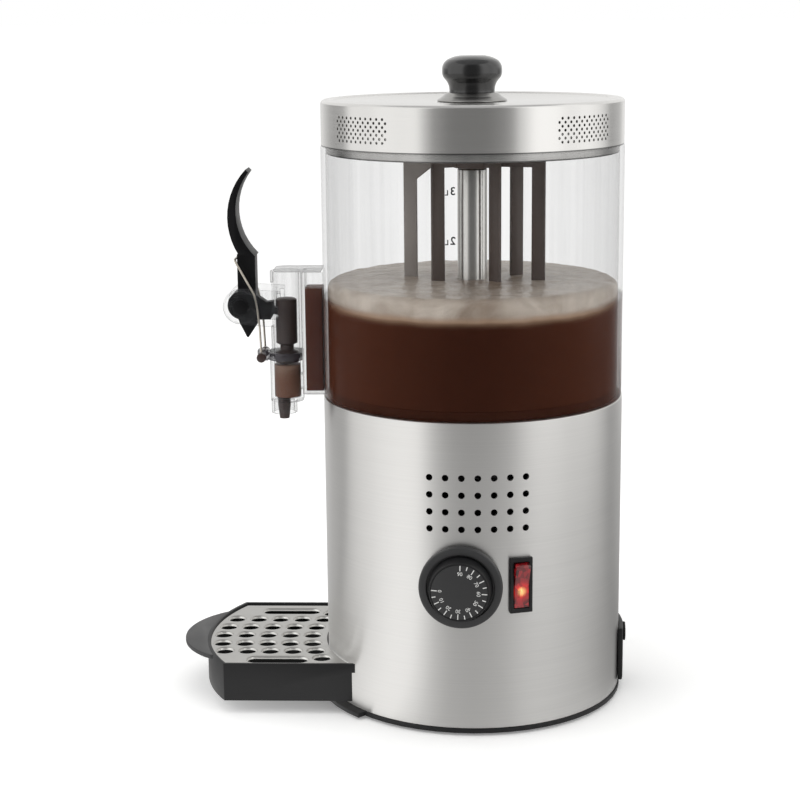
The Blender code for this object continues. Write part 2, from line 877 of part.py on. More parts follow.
def make_drive(spin):
    add("drive_shaft", disc(shaft_radius, shaft_bottom, shaft_top, small_facets), "plain_steel", spin)
    upper_bore = shaft_radius + gap
    lower_bore = output_shaft_radius + gap
    upper_floor = shaft_bottom - gap
    lower_roof = output_shaft_top + gap
    outline = [(0, lower_roof), (lower_bore, lower_roof), (lower_bore, coupling_bottom),
               (coupling_radius, coupling_bottom), (coupling_radius, coupling_top),
               (upper_bore, coupling_top), (upper_bore, upper_floor), (0, upper_floor)]
    add("shaft_coupling", turned(outline, small_facets), "aluminium", spin)
    add("gear_output_shaft", disc(output_shaft_radius, output_shaft_bottom, output_shaft_top,
                                  small_facets), "plain_steel", spin)


def make_motor():
    low = (-gearbox_offset - gearbox_length / 2, -gearbox_width / 2, gearbox_bottom)
    high = (-gearbox_offset + gearbox_length / 2, gearbox_width / 2, gearbox_top)
    gearbox = add("gearbox", block(low, high), "aluminium")
    soften(gearbox, gearbox_corner_radius, edge_steps)
    cut(gearbox, disc(output_shaft_radius + gap, output_shaft_bottom - gap, gearbox_top + overrun,
                      small_facets))
    motor_bottom = motor_top - motor_length
    outline = [(0, motor_bottom - motor_boss_height), (motor_boss_radius, motor_bottom - motor_boss_height),
               (motor_boss_radius, motor_bottom), (motor_radius - motor_edge, motor_bottom),
               (motor_radius, motor_bottom + motor_edge), (motor_radius, motor_top - motor_edge),
               (motor_radius - motor_edge, motor_top), (0, motor_top)]
    add("motor", turned(outline, medium_facets), "plain_steel", None, shifted(-motor_offset, 0, 0))
    post_radius = base_upstand_radius - bracket_post_inset
    outline = bracket_outline(post_radius + bracket_post_radius + running_gap)
    bracket = add("motor_bracket", extruded(outline, bracket_bottom, bracket_top), "plain_steel")
    posts = []
    for azimuth in bracket_azimuths:
        post = disc(bracket_post_radius, (bracket_bottom + bracket_top) / 2,
                    support_ring_bottom - gap, small_facets)
        posts.append(moved(post, shifted(*polar(post_radius, azimuth), 0)))
    join(bracket, gathered(posts))
    cut(bracket, disc(bracket_hole_radius, bracket_bottom - overrun, bracket_top + overrun,
                      medium_facets))


# A round plate with three arms, seen from above
def bracket_outline(reach):
    half_width = bracket_arm_width / 2
    spread = math.asin(half_width / bracket_hub_radius)
    outline = []
    for azimuth in bracket_azimuths:
        for side in (-1, 1):
            along = Vector(polar(reach, azimuth))
            across = Vector(polar(half_width, azimuth + math.pi / 2)) * side
            outline.append(tuple(along + across))
        following = azimuth + 2 * math.pi / len(bracket_azimuths)
        outline += arc((0, 0), bracket_hub_radius, azimuth + spread, following - spread, short_arc_steps)
    return outline


def make_dial():
    frame = radial_frame(dial_azimuth, dial_height)
    bore = dial_stem_radius + gap
    floor = thermostat_back + thermostat_floor
    outline = [(0, thermostat_back), (thermostat_radius, thermostat_back),
               (thermostat_radius, thermostat_face), (thermostat_neck_radius, thermostat_face),
               (thermostat_neck_radius, thermostat_neck_end), (bore, thermostat_neck_end),
               (bore, floor), (0, floor)]
    add("thermostat_body", turned(outline, medium_facets), "pale_plastic", None, frame)
    stem = disc(dial_stem_radius, stem_inner_end, stem_outer_end, small_facets)
    add("dial_stem", stem, "plain_steel", None, frame)
    skirt_front = dial_back + dial_skirt_height
    grip_front_radius = dial_grip_radius - dial_grip_taper
    outline = [(bore, dial_back), (dial_skirt_radius, dial_back),
               (dial_skirt_radius, skirt_front - dial_edge),
               (dial_skirt_radius - dial_edge, skirt_front), (dial_grip_radius, skirt_front),
               (grip_front_radius, dial_front - dial_edge),
               (grip_front_radius - dial_edge, dial_front), (0, dial_front),
               (0, dial_back + dial_bore_depth), (bore, dial_back + dial_bore_depth)]
    add("dial_knob", turned(outline, dial_facets), "black_plastic", None, frame)


def make_switch():
    frame = radial_frame(switch_azimuth, switch_height)
    half_width = switch_body_width / 2
    half_height = switch_body_height / 2
    body_back = bezel_back - switch_body_depth
    middle = (bezel_back + bezel_front) / 2
    body = block((-half_width, -half_height, body_back), (half_width, half_height, middle))
    housing = add("switch_housing", body, "black_plastic", None, frame)
    bezel_half = switch_bezel_width / 2
    bezel_half_height = switch_bezel_height / 2
    join(housing, block((-bezel_half, -bezel_half_height, bezel_back),
                        (bezel_half, bezel_half_height, bezel_front)))
    well_half = half_width - switch_wall
    cut(housing, block((-well_half, -rocker_well_half_height, bezel_front - switch_well_depth),
                       (well_half, rocker_well_half_height, bezel_front + overrun)))
    slope = math.tan(rocker_angle)
    crest = switch_bezel_thickness + gap
    lean = crest * slope
    reach = math.sqrt(rocker_end_radius ** 2 * (1 + slope ** 2) - crest ** 2)
    upper_y = (reach - lean) / (1 + slope ** 2)
    upper_angle = math.atan2(crest + slope * upper_y, upper_y)
    lower_angle = math.pi - math.asin(crest / rocker_end_radius)
    back_angle = math.asin(rocker_back / rocker_end_radius)
    outline = [(0, crest)]
    outline += arc((0, 0), rocker_end_radius, lower_angle, math.pi + back_angle, rocker_steps)
    outline += arc((0, 0), rocker_end_radius, -back_angle, upper_angle, rocker_steps)
    rocker = extruded(outline, -rocker_width / 2, rocker_width / 2)
    add("switch_rocker", rocker, "red_lens", None, frame @ shifted(0, 0, rocker_pivot) @ side_frame)


def make_rear_fittings():
    low = (-terminal_length / 2, -terminal_width / 2, 0)
    high = (terminal_length / 2, terminal_width / 2, terminal_height)
    seat = shifted(-terminal_reach, terminal_reach, base_thickness + gap)
    block_part = add("terminal_block", block(low, high), "pale_plastic", None, seat)
    soften(block_part, terminal_edge, edge_steps)
    inner = body_radius + gap
    outer = inner + cover_thickness
    start = gland_azimuth - cover_half_angle
    end = gland_azimuth + cover_half_angle
    plate = arc((0, 0), outer, start, end, short_arc_steps)
    plate += arc((0, 0), inner, end, start, short_arc_steps)
    cover = add("rear_cover", extruded(plate, cover_bottom, cover_top), "black_plastic")
    frame = radial_frame(gland_azimuth, gland_height)
    hole = disc(gland_neck_radius + gap, inner - overrun, outer + overrun, small_facets)
    cut(cover, moved(hole, frame))
    flange_back = outer + gap
    flange_front = flange_back + gland_flange_thickness
    neck_end = flange_back - gland_neck_length
    outline = [(gland_bore_radius, neck_end), (gland_neck_radius, neck_end),
               (gland_neck_radius, flange_back), (gland_flange_radius, flange_back),
               (gland_flange_radius, flange_front), (gland_bore_radius, flange_front)]
    add("cord_gland", turned(outline, small_facets), "rubber", None, frame)


def make_tank(lift):
    tank = add("tank", tube(tank_inner_radius, tank_radius, tank_bottom, tank_top, large_facets),
               "clear_plastic", lift)
    join(tank, block((-duct_half_width, -duct_front, tank_bottom),
                     (duct_half_width, -duct_rear, duct_top)))
    inside_half = duct_half_width - duct_side_wall
    inside_front = duct_front - duct_front_wall
    inside_rear = tank_radius + duct_rear_wall
    cut(tank, block((-inside_half, -inside_front, tank_bottom + duct_floor),
                    (inside_half, -inside_rear, duct_top + overrun)))
    inlet_bottom = tank_bottom + inlet_rise
    cut(tank, block((-inlet_half_width, -inside_rear - gap, inlet_bottom),
                    (inlet_half_width, overrun - tank_inner_radius, inlet_bottom + inlet_height)))
    outlet_bottom = tank_bottom + outlet_rise
    cut(tank, block((-outlet_half_width, -duct_front - overrun, outlet_bottom),
                    (outlet_half_width, gap - inside_front, outlet_bottom + outlet_height)))


# An ear is a plate with a round end at the lever's pivot, drawn in Y and Z
def ear_outline():
    root_y = tap_axis_y - ear_root_offset
    outline = arc((pivot_y, pivot_z), ear_radius, math.pi / 2, math.pi * 3 / 2, ear_arc_steps)
    outline += [(root_y, pivot_z - ear_root_bottom), (root_y, pivot_z + ear_root_top)]
    return outline


def make_tap_body(lift):
    shoulder = collar_top + gap
    slant = tap_lower_radius - tap_upper_radius
    outline = [(0, tap_bottom), (tap_lower_radius, tap_bottom), (tap_lower_radius, shoulder),
               (tap_upper_radius, shoulder + slant), (tap_upper_radius, tap_top), (0, tap_top)]
    frame = shifted(0, tap_axis_y, 0)
    tap = add("tap_body", moved(turned(outline, medium_facets), frame), "clear_plastic", lift)
    spout = disc(spout_radius, spout_bottom, (tap_bottom + tap_floor_top) / 2, medium_facets)
    join(tap, moved(spout, shifted(0, spout_y, 0)))
    web_front = tap_axis_y - ear_root_offset - ear_web_thickness
    web_rear = tap_axis_y - ear_root_offset - gap
    web_half = (ear_inner_x + ear_outer_x) / 2
    web_low = pivot_z - ear_root_top
    web_high = pivot_z + ear_root_top - ear_thickness
    join(tap, block((-web_half, web_front, web_low), (web_half, web_rear, web_high)))
    near_ear = extruded(ear_outline(), ear_inner_x, ear_outer_x)
    far_ear = extruded(ear_outline(), -ear_outer_x, -ear_inner_x)
    join(tap, gathered([moved(near_ear, side_frame), moved(far_ear, side_frame)]))
    bore = disc(tap_bore_radius, tap_floor_top, tap_top + overrun, medium_facets)
    cut(tap, moved(bore, frame))
    spout_bore = spout_radius - spout_wall
    valve = [(0, spout_bottom - overrun), (spout_bore, spout_bottom - overrun),
             (spout_bore, tap_bottom), (valve_hole_radius, tap_bottom),
             (valve_hole_radius, tap_floor_top + overrun), (0, tap_floor_top + overrun)]
    cut(tap, moved(turned(valve, medium_facets), shifted(0, spout_y, 0)))
    cut(tap, block((-ear_outer_x, tap_rear_y, spout_bottom - overrun),
                   (ear_outer_x, tap_rear_y + tap_lower_radius, tap_top + overrun)))
    slot_front = tap_axis_y - tap_lower_radius - overrun
    cut(tap, block((-tap_slot_half_width, slot_front, pivot_z - tap_slot_below_pivot),
                   (tap_slot_half_width, tap_axis_y, pivot_z + tap_slot_above_pivot)))
    outlet_bottom = tank_bottom + outlet_rise
    cut(tap, block((-outlet_half_width, tap_rear_y - tap_rear_wall - overrun, outlet_bottom),
                   (outlet_half_width, tap_rear_y + overrun, outlet_bottom + outlet_height)))
    pin_hole = disc(pin_hole_radius, -ear_outer_x - overrun, ear_outer_x + overrun, small_facets)
    cut(tap, moved(pin_hole, shifted(0, pivot_y, pivot_z) @ side_frame))


def make_tap_fittings(lift):
    cap_front = tap_axis_y - cap_front_reach
    cap_rear = -tank_radius - tank_step_in
    cap = [(-cap_half_width, cap_rear), (-cap_half_width, cap_front + cap_corner),
           (cap_corner - cap_half_width, cap_front), (cap_half_width - cap_corner, cap_front),
           (cap_half_width, cap_front + cap_corner), (cap_half_width, cap_rear)]
    cap_bottom = tap_top + gap
    add("tap_cap", extruded(cap, cap_bottom, cap_bottom + cap_thickness), "clear_plastic", lift)
    frame = shifted(0, tap_axis_y, 0)
    ring = tube(collar_inner_radius, collar_outer_radius, collar_bottom, collar_top, medium_facets)
    collar = add("tap_collar", moved(ring, frame), "clear_plastic", lift)
    boss_front = spring_bar_y - collar_boss_half_height
    boss_rear = tap_axis_y - (collar_inner_radius + collar_outer_radius) / 2
    join(collar, block((-collar_boss_half_width, boss_front, spring_bar_z - collar_boss_half_height),
                       (collar_boss_half_width, boss_rear, spring_bar_z + collar_boss_half_height)))
    cut(collar, block((-collar_outer_radius - overrun, tap_rear_y, collar_bottom - overrun),
                      (collar_outer_radius + overrun, tap_rear_y + collar_outer_radius,
                       collar_top + overrun)))
    bar_hole = disc(spring_bar_radius + gap, -collar_outer_radius, collar_outer_radius, small_facets)
    cut(collar, moved(bar_hole, shifted(0, spring_bar_y, spring_bar_z) @ side_frame))
    pin = [(0, -ear_outer_x - running_gap), (pin_radius, -ear_outer_x - running_gap),
           (pin_radius, ear_outer_x + gap), (pin_head_radius, ear_outer_x + gap),
           (pin_head_radius, ear_outer_x + gap + pin_head_thickness),
           (0, ear_outer_x + gap + pin_head_thickness)]
    add("pivot_pin", turned(pin, small_facets), "plain_steel", lift,
        shifted(0, pivot_y, pivot_z) @ side_frame)


# The spring is a wire loop that stands on the bar and bears on the lever's front
def make_spring(swing):
    bar = [(0, -spring_barrel_outer_x), (spring_barrel_radius, -spring_barrel_outer_x),
           (spring_barrel_radius, -spring_barrel_inner_x), (spring_bar_radius, -spring_barrel_inner_x),
           (spring_bar_radius, spring_barrel_inner_x), (spring_barrel_radius, spring_barrel_inner_x),
           (spring_barrel_radius, spring_barrel_outer_x), (0, spring_barrel_outer_x)]
    add("spring_bar", turned(bar, small_facets), "black_plastic", swing,
        shifted(0, spring_bar_y, spring_bar_z) @ side_frame)
    foot = Vector((spring_bar_y, spring_bar_z + spring_barrel_radius + gap))
    crest = Vector((pivot_y - lever_bar_front - gap - spring_wire_radius,
                    pivot_z + lever_bar_top - spring_corner_radius))
    rise = crest - foot
    side = [foot + Vector((rise.x * lean, rise.y * up)) for lean, up in spring_side_shares]
    bend_way = (crest - side[-1]).normalized()
    places = [Vector((spring_x, *place)) for place in side]
    bend_start = crest - bend_way * spring_corner_radius
    centre_x = spring_x - spring_corner_radius
    for across, climb in arc((centre_x, 0), spring_corner_radius, 0, math.pi / 2, bend_steps):
        place = bend_start + bend_way * climb
        places.append(Vector((across, *place)))
    mirrored = [Vector((-place.x, place.y, place.z)) for place in reversed(places)]
    add_wire("tap_spring", places + mirrored, spring_wire_radius, 1, "plain_steel", swing)


def make_lever(pull):
    frame = shifted(0, pivot_y, pivot_z) @ side_frame
    hub = disc(hub_radius, -hub_half_width, hub_half_width, medium_facets)
    lever = add("tap_lever", hub, "black_plastic", pull, frame)
    bar = [(-lever_bar_front, 0), (lever_bar_rear, 0), (lever_bar_rear, lever_bar_top),
           (-lever_bar_front, lever_bar_top)]
    join(lever, extruded(bar, -lever_bar_half_width, lever_bar_half_width))
    outer = [(across * blade_sweep, lever_bar_top + up * blade_length) for across, up in blade_outer_shares]
    inner = [(across * blade_sweep, lever_bar_top + up * blade_length) for across, up in blade_inner_shares]
    blade = arc_through(*outer, blade_arc_points) + arc_through(*inner, blade_arc_points)
    join(lever, extruded(blade, -blade_half_width, blade_half_width))
    tail = [(along * lever_bar_rear, up * tail_drop) for along, up in tail_shares]
    join(lever, extruded(tail, -lever_bar_half_width, lever_bar_half_width))
    web = [(along * arm_reach, up * arm_drop) for along, up in arm_shares]
    join(lever, extruded(web, -arm_half_width, arm_half_width))
    root = Vector((arm_shank_root_share[0] * arm_reach, arm_shank_root_share[1] * arm_drop))
    tip = Vector((nose_reach, -nose_drop))
    way = (tip - root).normalized() * arm_shank_half_height
    side = Vector((way.y, -way.x))
    shank = [tuple(root + side), tuple(tip + side), tuple(tip - side), tuple(root - side)]
    join(lever, extruded(shank, -arm_half_width, arm_half_width))
    nose = disc(nose_radius, -arm_half_width, arm_half_width, small_facets)
    join(lever, moved(nose, shifted(*tip, 0)))
    cut(lever, disc(pin_hole_radius, -hub_half_width - overrun, hub_half_width + overrun,
                    small_facets))


def make_plunger(lift):
    frame = shifted(0, tap_axis_y, 0)
    shoulder = piston_radius - plunger_neck_radius
    land_slant = seal_land_radius - plunger_neck_radius
    outline = [(0, seal_land_bottom), (seal_land_radius, seal_land_bottom),
               (seal_land_radius, seal_groove_bottom), (seal_groove_radius, seal_groove_bottom),
               (seal_groove_radius, seal_groove_top), (seal_land_radius, seal_groove_top),
               (seal_land_radius, seal_land_top), (plunger_neck_radius, seal_land_top + land_slant / 2),
               (plunger_neck_radius, piston_bottom - shoulder / 2), (piston_radius, piston_bottom),
               (piston_radius, piston_top - piston_dome_height),
               (piston_radius - piston_dome_height, piston_top - piston_dome_height / 3),
               (0, piston_top)]
    plunger = add("plunger", turned(outline, medium_facets), "dark_plastic", lift, frame)
    plug_bottom = valve_plug_top - valve_plug_length
    plug = [(0, plug_bottom), (valve_plug_tip_radius, plug_bottom),
            (valve_plug_radius, valve_plug_top - valve_plug_straight),
            (valve_plug_radius, valve_plug_top), (valve_stem_radius, valve_plug_top),
            (valve_stem_radius, seal_groove_bottom), (0, seal_groove_bottom)]
    join(plunger, moved(turned(plug, small_facets), shifted(0, -spout_offset, 0)))
    window_half_height = nose_radius + piston_window_clearance
    window_rear = piston_window_depth - piston_radius
    cut(plunger, block((-piston_window_half_width, -piston_radius - overrun, nose_z - window_half_height),
                       (piston_window_half_width, window_rear, nose_z + window_half_height)))
    ring = tube(seal_groove_radius + gap, tap_bore_radius - gap, seal_groove_bottom + gap,
                seal_groove_top - gap, medium_facets)
    add("plunger_seal", ring, "rubber", lift, frame)


def make_lid(lift):
    corner = (lid_radius - lid_edge_radius, lid_top - lid_edge_radius)
    rim_inside = lid_radius - lid_rim_width
    flat_radius = lid_boss_radius + lid_edge_radius
    outline = [(lid_radius, lid_bottom)]
    outline += arc(corner, lid_edge_radius, 0, math.pi / 2, lid_edge_steps)
    outline += [(rim_inside, lid_top - lid_dish_depth / 2), (flat_radius, lid_dish_top),
                (lid_screw_hole_radius, lid_dish_top), (lid_screw_hole_radius, lid_dish_top - lid_wall),
                (flat_radius, lid_dish_top - lid_wall),
                (rim_inside, lid_top - lid_dish_depth / 2 - lid_wall)]
    outline += arc(corner, lid_edge_radius - lid_wall, math.pi / 2, 0, 1)
    outline += [(lid_inner_radius, lid_bottom)]
    add("lid_shell", turned(outline, large_facets), "brushed_steel", lift)
    flange_radius = lid_inner_radius - gap
    spigot_radius = tank_inner_radius - lid_spigot_clearance
    bore = spigot_radius - lid_ring_wall
    flange_top = lid_bottom + lid_ring_flange
    ring_top = flange_top + lid_ring_upstand
    ring_bottom = lid_bottom - lid_spigot_depth
    outline = [(bore, ring_bottom), (spigot_radius, ring_bottom), (spigot_radius, lid_bottom),
               (flange_radius, lid_bottom), (flange_radius, flange_top), (spigot_radius, flange_top),
               (spigot_radius, ring_top), (bore, ring_top)]
    add("lid_inner_ring", turned(outline, large_facets), "pale_plastic", lift)
    outline = [(lid_screw_hole_radius, lid_boss_bottom), (lid_boss_radius, lid_boss_bottom),
               (lid_boss_top_radius, lid_boss_top), (lid_screw_hole_radius, lid_boss_top)]
    add("lid_boss", turned(outline, dial_facets), "brushed_steel", lift)
    outline = [(lid_screw_hole_radius, knob_bottom)]
    outline += [(knob_radius * across, knob_bottom + knob_height * up) for across, up in knob_shares]
    outline += [(0, knob_bottom + knob_bore_depth), (lid_screw_hole_radius, knob_bottom + knob_bore_depth)]
    add("lid_knob", turned(outline, knob_facets), "black_plastic", lift)
    head_top = lid_dish_top - lid_wall - gap
    head_bottom = head_top - lid_screw_head_height
    screw_top = knob_bottom + knob_bore_depth - gap
    outline = [(0, head_bottom), (lid_screw_head_radius, head_bottom), (lid_screw_head_radius, head_top),
               (lid_screw_radius, head_top), (lid_screw_radius, screw_top), (0, screw_top)]
    add("lid_screw", turned(outline, small_facets), "plain_steel", lift)


# Each arm of the agitator carries one blade, which runs down to a bar over the plate
def make_agitator(spin):
    hub_top = hub_bottom + agitator_hub_height
    bore = shaft_radius + gap
    bore_top = shaft_top + gap
    outline = [(bore, hub_bottom), (agitator_hub_radius, hub_bottom), (agitator_hub_radius, hub_top),
               (0, hub_top), (0, bore_top), (bore, bore_top)]
    agitator = add("agitator", turned(outline, medium_facets), "brown_plastic", spin)
    scraper_bottom = plate_top + scraper_rise
    scraper_top = scraper_bottom + scraper_height
    ring_inside = column_radius + running_gap
    ring_outside = ring_inside + scraper_ring_wall
    ring_middle = (ring_inside + ring_outside) / 2
    hub_middle = (agitator_hub_radius + bore) / 2
    arm_bottom = hub_bottom + agitator_arm_rise
    arm_top = arm_bottom + agitator_arm_height
    scraper_reach = tank_inner_radius - scraper_wall_clearance
    for number, (azimuth, share) in enumerate(zip(blade_azimuths, blade_reach_shares)):
        reach = tank_inner_radius * share
        outside = reach + blade_radial_width / 2
        inside = reach - blade_radial_width / 2
        bar_end = scraper_reach if number < long_scraper_count else outside + scraper_overhang
        frame = [(hub_middle, arm_bottom)]
        if number < braced_blade_count:
            frame.append((max(inside - agitator_gusset_width, hub_middle), arm_bottom))
            frame.append((inside, arm_bottom - agitator_gusset_height))
        else:
            frame.append((inside, arm_bottom))
        frame += [(inside, scraper_top), (ring_middle, scraper_top), (ring_middle, scraper_bottom),
                  (bar_end, scraper_bottom), (bar_end, scraper_top), (outside, scraper_top),
                  (outside, arm_top), (hub_middle, arm_top)]
        turn = Matrix.Rotation(azimuth, 4, "Z") @ Matrix.Rotation(math.pi / 2, 4, "X")
        upright_frame = extruded(frame, -agitator_blade_thickness / 2, agitator_blade_thickness / 2)
        join(agitator, moved(upright_frame, turn))
    join(agitator, tube(ring_inside, ring_outside, scraper_bottom - scraper_ring_step,
                        scraper_top + scraper_ring_step, medium_facets))


# Outline of the tray seen from above, drawn in by an inset, with a hollow rear that follows the drum
def tray_outline(inset, rear_radius):
    half_width = tray_half_width - inset
    radius = tray_front_radius - inset
    centre_y = tray_front_radius - tray_front
    spread = math.asin(half_width / radius)
    front = arc((0, centre_y), radius, -math.pi / 2 - spread, -math.pi / 2 + spread, tray_arc_points)
    rear_spread = math.asin(half_width / rear_radius)
    rear = arc((0, 0), rear_radius, -math.pi / 2 + rear_spread, -math.pi / 2 - rear_spread,
               tray_arc_points)
    return front + rear


def make_tray(slide):
    tray = add("drip_tray", extruded(tray_outline(0, tray_rear_radius), tray_bottom, tray_top),
               "black_plastic", slide)
    handle_top = tray_top - handle_drop
    handle_y = handle_radius - handle_reach - tray_front
    spread = math.acos((handle_y + tray_front - handle_root_depth) / handle_radius)
    handle = arc((0, handle_y), handle_radius, -math.pi / 2 - spread, -math.pi / 2 + spread,
                 tray_arc_points)
    join(tray, extruded(handle, handle_top - handle_thickness, handle_top))
    lip_bottom = tray_top - tray_lip_height
    cut(tray, disc(tray_lower_rear_radius, tray_bottom - overrun, lip_bottom, large_facets))
    tongue_front = -math.sqrt(tray_lower_rear_radius ** 2 - tongue_half_spread ** 2) - tray_wall
    join(tray, tongue_block(0, tongue_front, tongue_length - body_radius - gap))
    inner_rear = tray_lower_rear_radius + tray_wall
    cut(tray, extruded(tray_outline(tray_wall, inner_rear), tray_bottom + tray_floor, tray_seat))
    rim_rear = tray_rear_radius - overrun
    cut(tray, extruded(tray_outline(tray_rim_wall, rim_rear), tray_seat, tray_top + overrun))


def make_grille(lift):
    outline = tray_outline(tray_rim_wall + gap, tray_rear_radius)
    grille = add("tray_grille", extruded(outline, grille_bottom, grille_top), "brushed_steel", lift)
    low = grille_bottom - overrun
    high = grille_top + overrun
    holes = []
    for share in grille_column_shares:
        place = share * tray_half_width
        sag = grille_row_radius - math.sqrt(grille_row_radius ** 2 - place ** 2)
        for row in range(grille_rows):
            y = grille_first_row + grille_row_pitch * row + sag - tray_front
            holes.append(moved(disc(grille_hole_radius, low, high, vent_facets), shifted(place, y, 0)))
    for side in (-1, 1):
        x = side * grille_extra_x
        y = grille_extra_from_front - tray_front
        holes.append(moved(disc(grille_hole_radius, low, high, vent_facets), shifted(x, y, 0)))
        slot_front = grille_slot_from_front - tray_front
        middle = side * grille_slot_x
        slot = arc((middle, slot_front + grille_slot_half_width), grille_slot_half_width,
                   -math.pi, 0, slot_end_steps)
        slot += arc((middle, slot_front + grille_slot_length - grille_slot_half_width),
                    grille_slot_half_width, 0, math.pi, slot_end_steps)
        holes.append(extruded(slot, low, high))
    cut(grille, gathered(holes))


def clear_scene():
    for thing in list(bpy.data.objects):
        bpy.data.objects.remove(thing, do_unlink=True)


def build():
    clear_scene()
    agitator_axis = axis_empty("agitator_axis", (0, 0, 0))
    tank_carrier = axis_empty("tank_carrier", (0, 0, tank_bottom))
    lever_axis = axis_empty("lever_axis", (0, pivot_y, pivot_z), tank_carrier)
    spring_axis = axis_empty("spring_axis", (0, spring_bar_y, spring_bar_z), tank_carrier)
    plunger_carrier = axis_empty("plunger_carrier", (0, tap_axis_y, tap_bottom), tank_carrier)
    lid_carrier = axis_empty("lid_carrier", (0, 0, lid_bottom), tank_carrier)
    tray_carrier = axis_empty("tray_carrier", (0, -tray_front, tray_bottom))
    grille_carrier = axis_empty("grille_carrier", (0, -tray_front, tray_seat), tray_carrier)
    make_base_plate()
    make_feet()
    make_body_shell()
    make_heating()
    make_column()
    make_drive(agitator_axis)
    make_motor()
    make_dial()
    make_switch()
    make_rear_fittings()
    make_tank(tank_carrier)
    make_tap_body(tank_carrier)
    make_tap_fittings(tank_carrier)
    make_spring(spring_axis)
    make_lever(lever_axis)
    make_plunger(plunger_carrier)
    make_lid(lid_carrier)
    make_agitator(agitator_axis)
    make_tray(tray_carrier)
    make_grille(grille_carrier)


build()
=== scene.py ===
import math

import bmesh
import bpy
from mathutils import Matrix, Vector, geometry, kdtree, noise


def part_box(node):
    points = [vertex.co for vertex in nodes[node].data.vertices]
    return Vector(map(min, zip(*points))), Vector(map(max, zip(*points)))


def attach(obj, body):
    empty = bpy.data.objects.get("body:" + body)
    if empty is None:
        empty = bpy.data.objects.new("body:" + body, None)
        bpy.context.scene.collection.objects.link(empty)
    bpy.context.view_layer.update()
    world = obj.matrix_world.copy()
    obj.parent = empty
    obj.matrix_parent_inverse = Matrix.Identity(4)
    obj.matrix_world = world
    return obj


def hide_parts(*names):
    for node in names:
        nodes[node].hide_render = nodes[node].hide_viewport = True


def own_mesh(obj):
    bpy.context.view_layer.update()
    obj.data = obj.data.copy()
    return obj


# Hot chocolate dispenser machine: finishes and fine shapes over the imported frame. Lengths are in metres.
# The tap and the tray point along -Y, the dial and the switch face +X, and +Z is up.
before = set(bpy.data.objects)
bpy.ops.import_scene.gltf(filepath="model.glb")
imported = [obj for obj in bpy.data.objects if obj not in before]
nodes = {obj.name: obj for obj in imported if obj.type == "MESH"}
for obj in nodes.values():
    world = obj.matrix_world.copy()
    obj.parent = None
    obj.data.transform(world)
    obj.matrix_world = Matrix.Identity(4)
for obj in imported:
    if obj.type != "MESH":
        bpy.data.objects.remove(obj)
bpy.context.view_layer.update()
print("frame loaded:", len(nodes), "CAD nodes")


# Colours and shader nodes

# Settings that several nodes share
noiseSpan = {"From Min": 0.3, "From Max": 0.7}  # nearly all of a noise's values lie between these
falling = {"To Min": 1.0, "To Max": 0.0}
eased = {"interpolation_type": "SMOOTHSTEP"}
multiply, add = {"operation": "MULTIPLY"}, {"operation": "ADD"}
greater, lengthOf = {"operation": "MAXIMUM"}, {"operation": "LENGTH"}
blend = {"data_type": "RGBA"}


def linear(hexColour):  # an sRGB hex value as the linear colour that the shaders work in
    shares = [int(hexColour[place:place + 2], 16) / 255 for place in (1, 3, 5)]
    return tuple(s / 12.92 if s <= 0.04045 else ((s + 0.055) / 1.055) ** 2.4 for s in shares) + (1.0,)


def addNode(tree, kind, settings=None, links=None):
    node = tree.nodes.new("ShaderNode" + kind)
    for name, value in (settings or {}).items():
        if isinstance(name, int) or name in node.inputs:
            node.inputs[name].default_value = value
        else:
            setattr(node, name, value)
    return joinTo(node, links or {})


def joinTo(node, links):  # a link comes from a socket, or from a node, which stands for its first live output
    for name, source in links.items():
        if isinstance(source, bpy.types.Node):
            source = next(socket for socket in source.outputs if socket.enabled)
        node.id_data.links.new(source, node.inputs[name])
    return node


def startMaterial(name, settings):
    material = bpy.data.materials.new(name)
    material.use_nodes = True
    tree = material.node_tree
    tree.nodes.clear()
    shader = addNode(tree, "BsdfPrincipled", settings)
    addNode(tree, "OutputMaterial", links={"Surface": shader})
    material.diffuse_color = settings["Base Color"]
    return material, tree, shader


def scaledPlace(tree, *scale):  # the piece's own coordinates in metres, times one scale or one for each axis
    place = addNode(tree, "TexCoord").outputs["Object"]
    return addNode(tree, "VectorMath", {"operation": "MULTIPLY", 1: scale if len(scale) == 3 else scale * 3},
                   {0: place})


def placeAxes(tree):  # the piece's own X, Y and Z in metres
    return addNode(tree, "SeparateXYZ", links={0: addNode(tree, "TexCoord").outputs["Object"]}).outputs


def setStops(ramp, greys):  # greys are (place from 0 to 1, value)
    stops = ramp.color_ramp.elements
    for number, (place, value) in enumerate(greys):
        stop = stops[number] if number < 2 else stops.new(place)
        stop.position = place
        stop.color = (value, value, value, 1.0)


# Brushed sheet steel: the belt leaves fine lines round the drum, so a reflection smears up and down
# and keeps its edges from side to side. The lines are drawn about 1 mm apart, coarser than the real grit.
brushed = {"colour": "#dddcda", "roughness": 0.24, "spread": 0.02, "stretch": 0.70, "lineSpacing": 0.0008,
           "lineLength": 0.110, "tone": 0.015, "relief": 0.03}


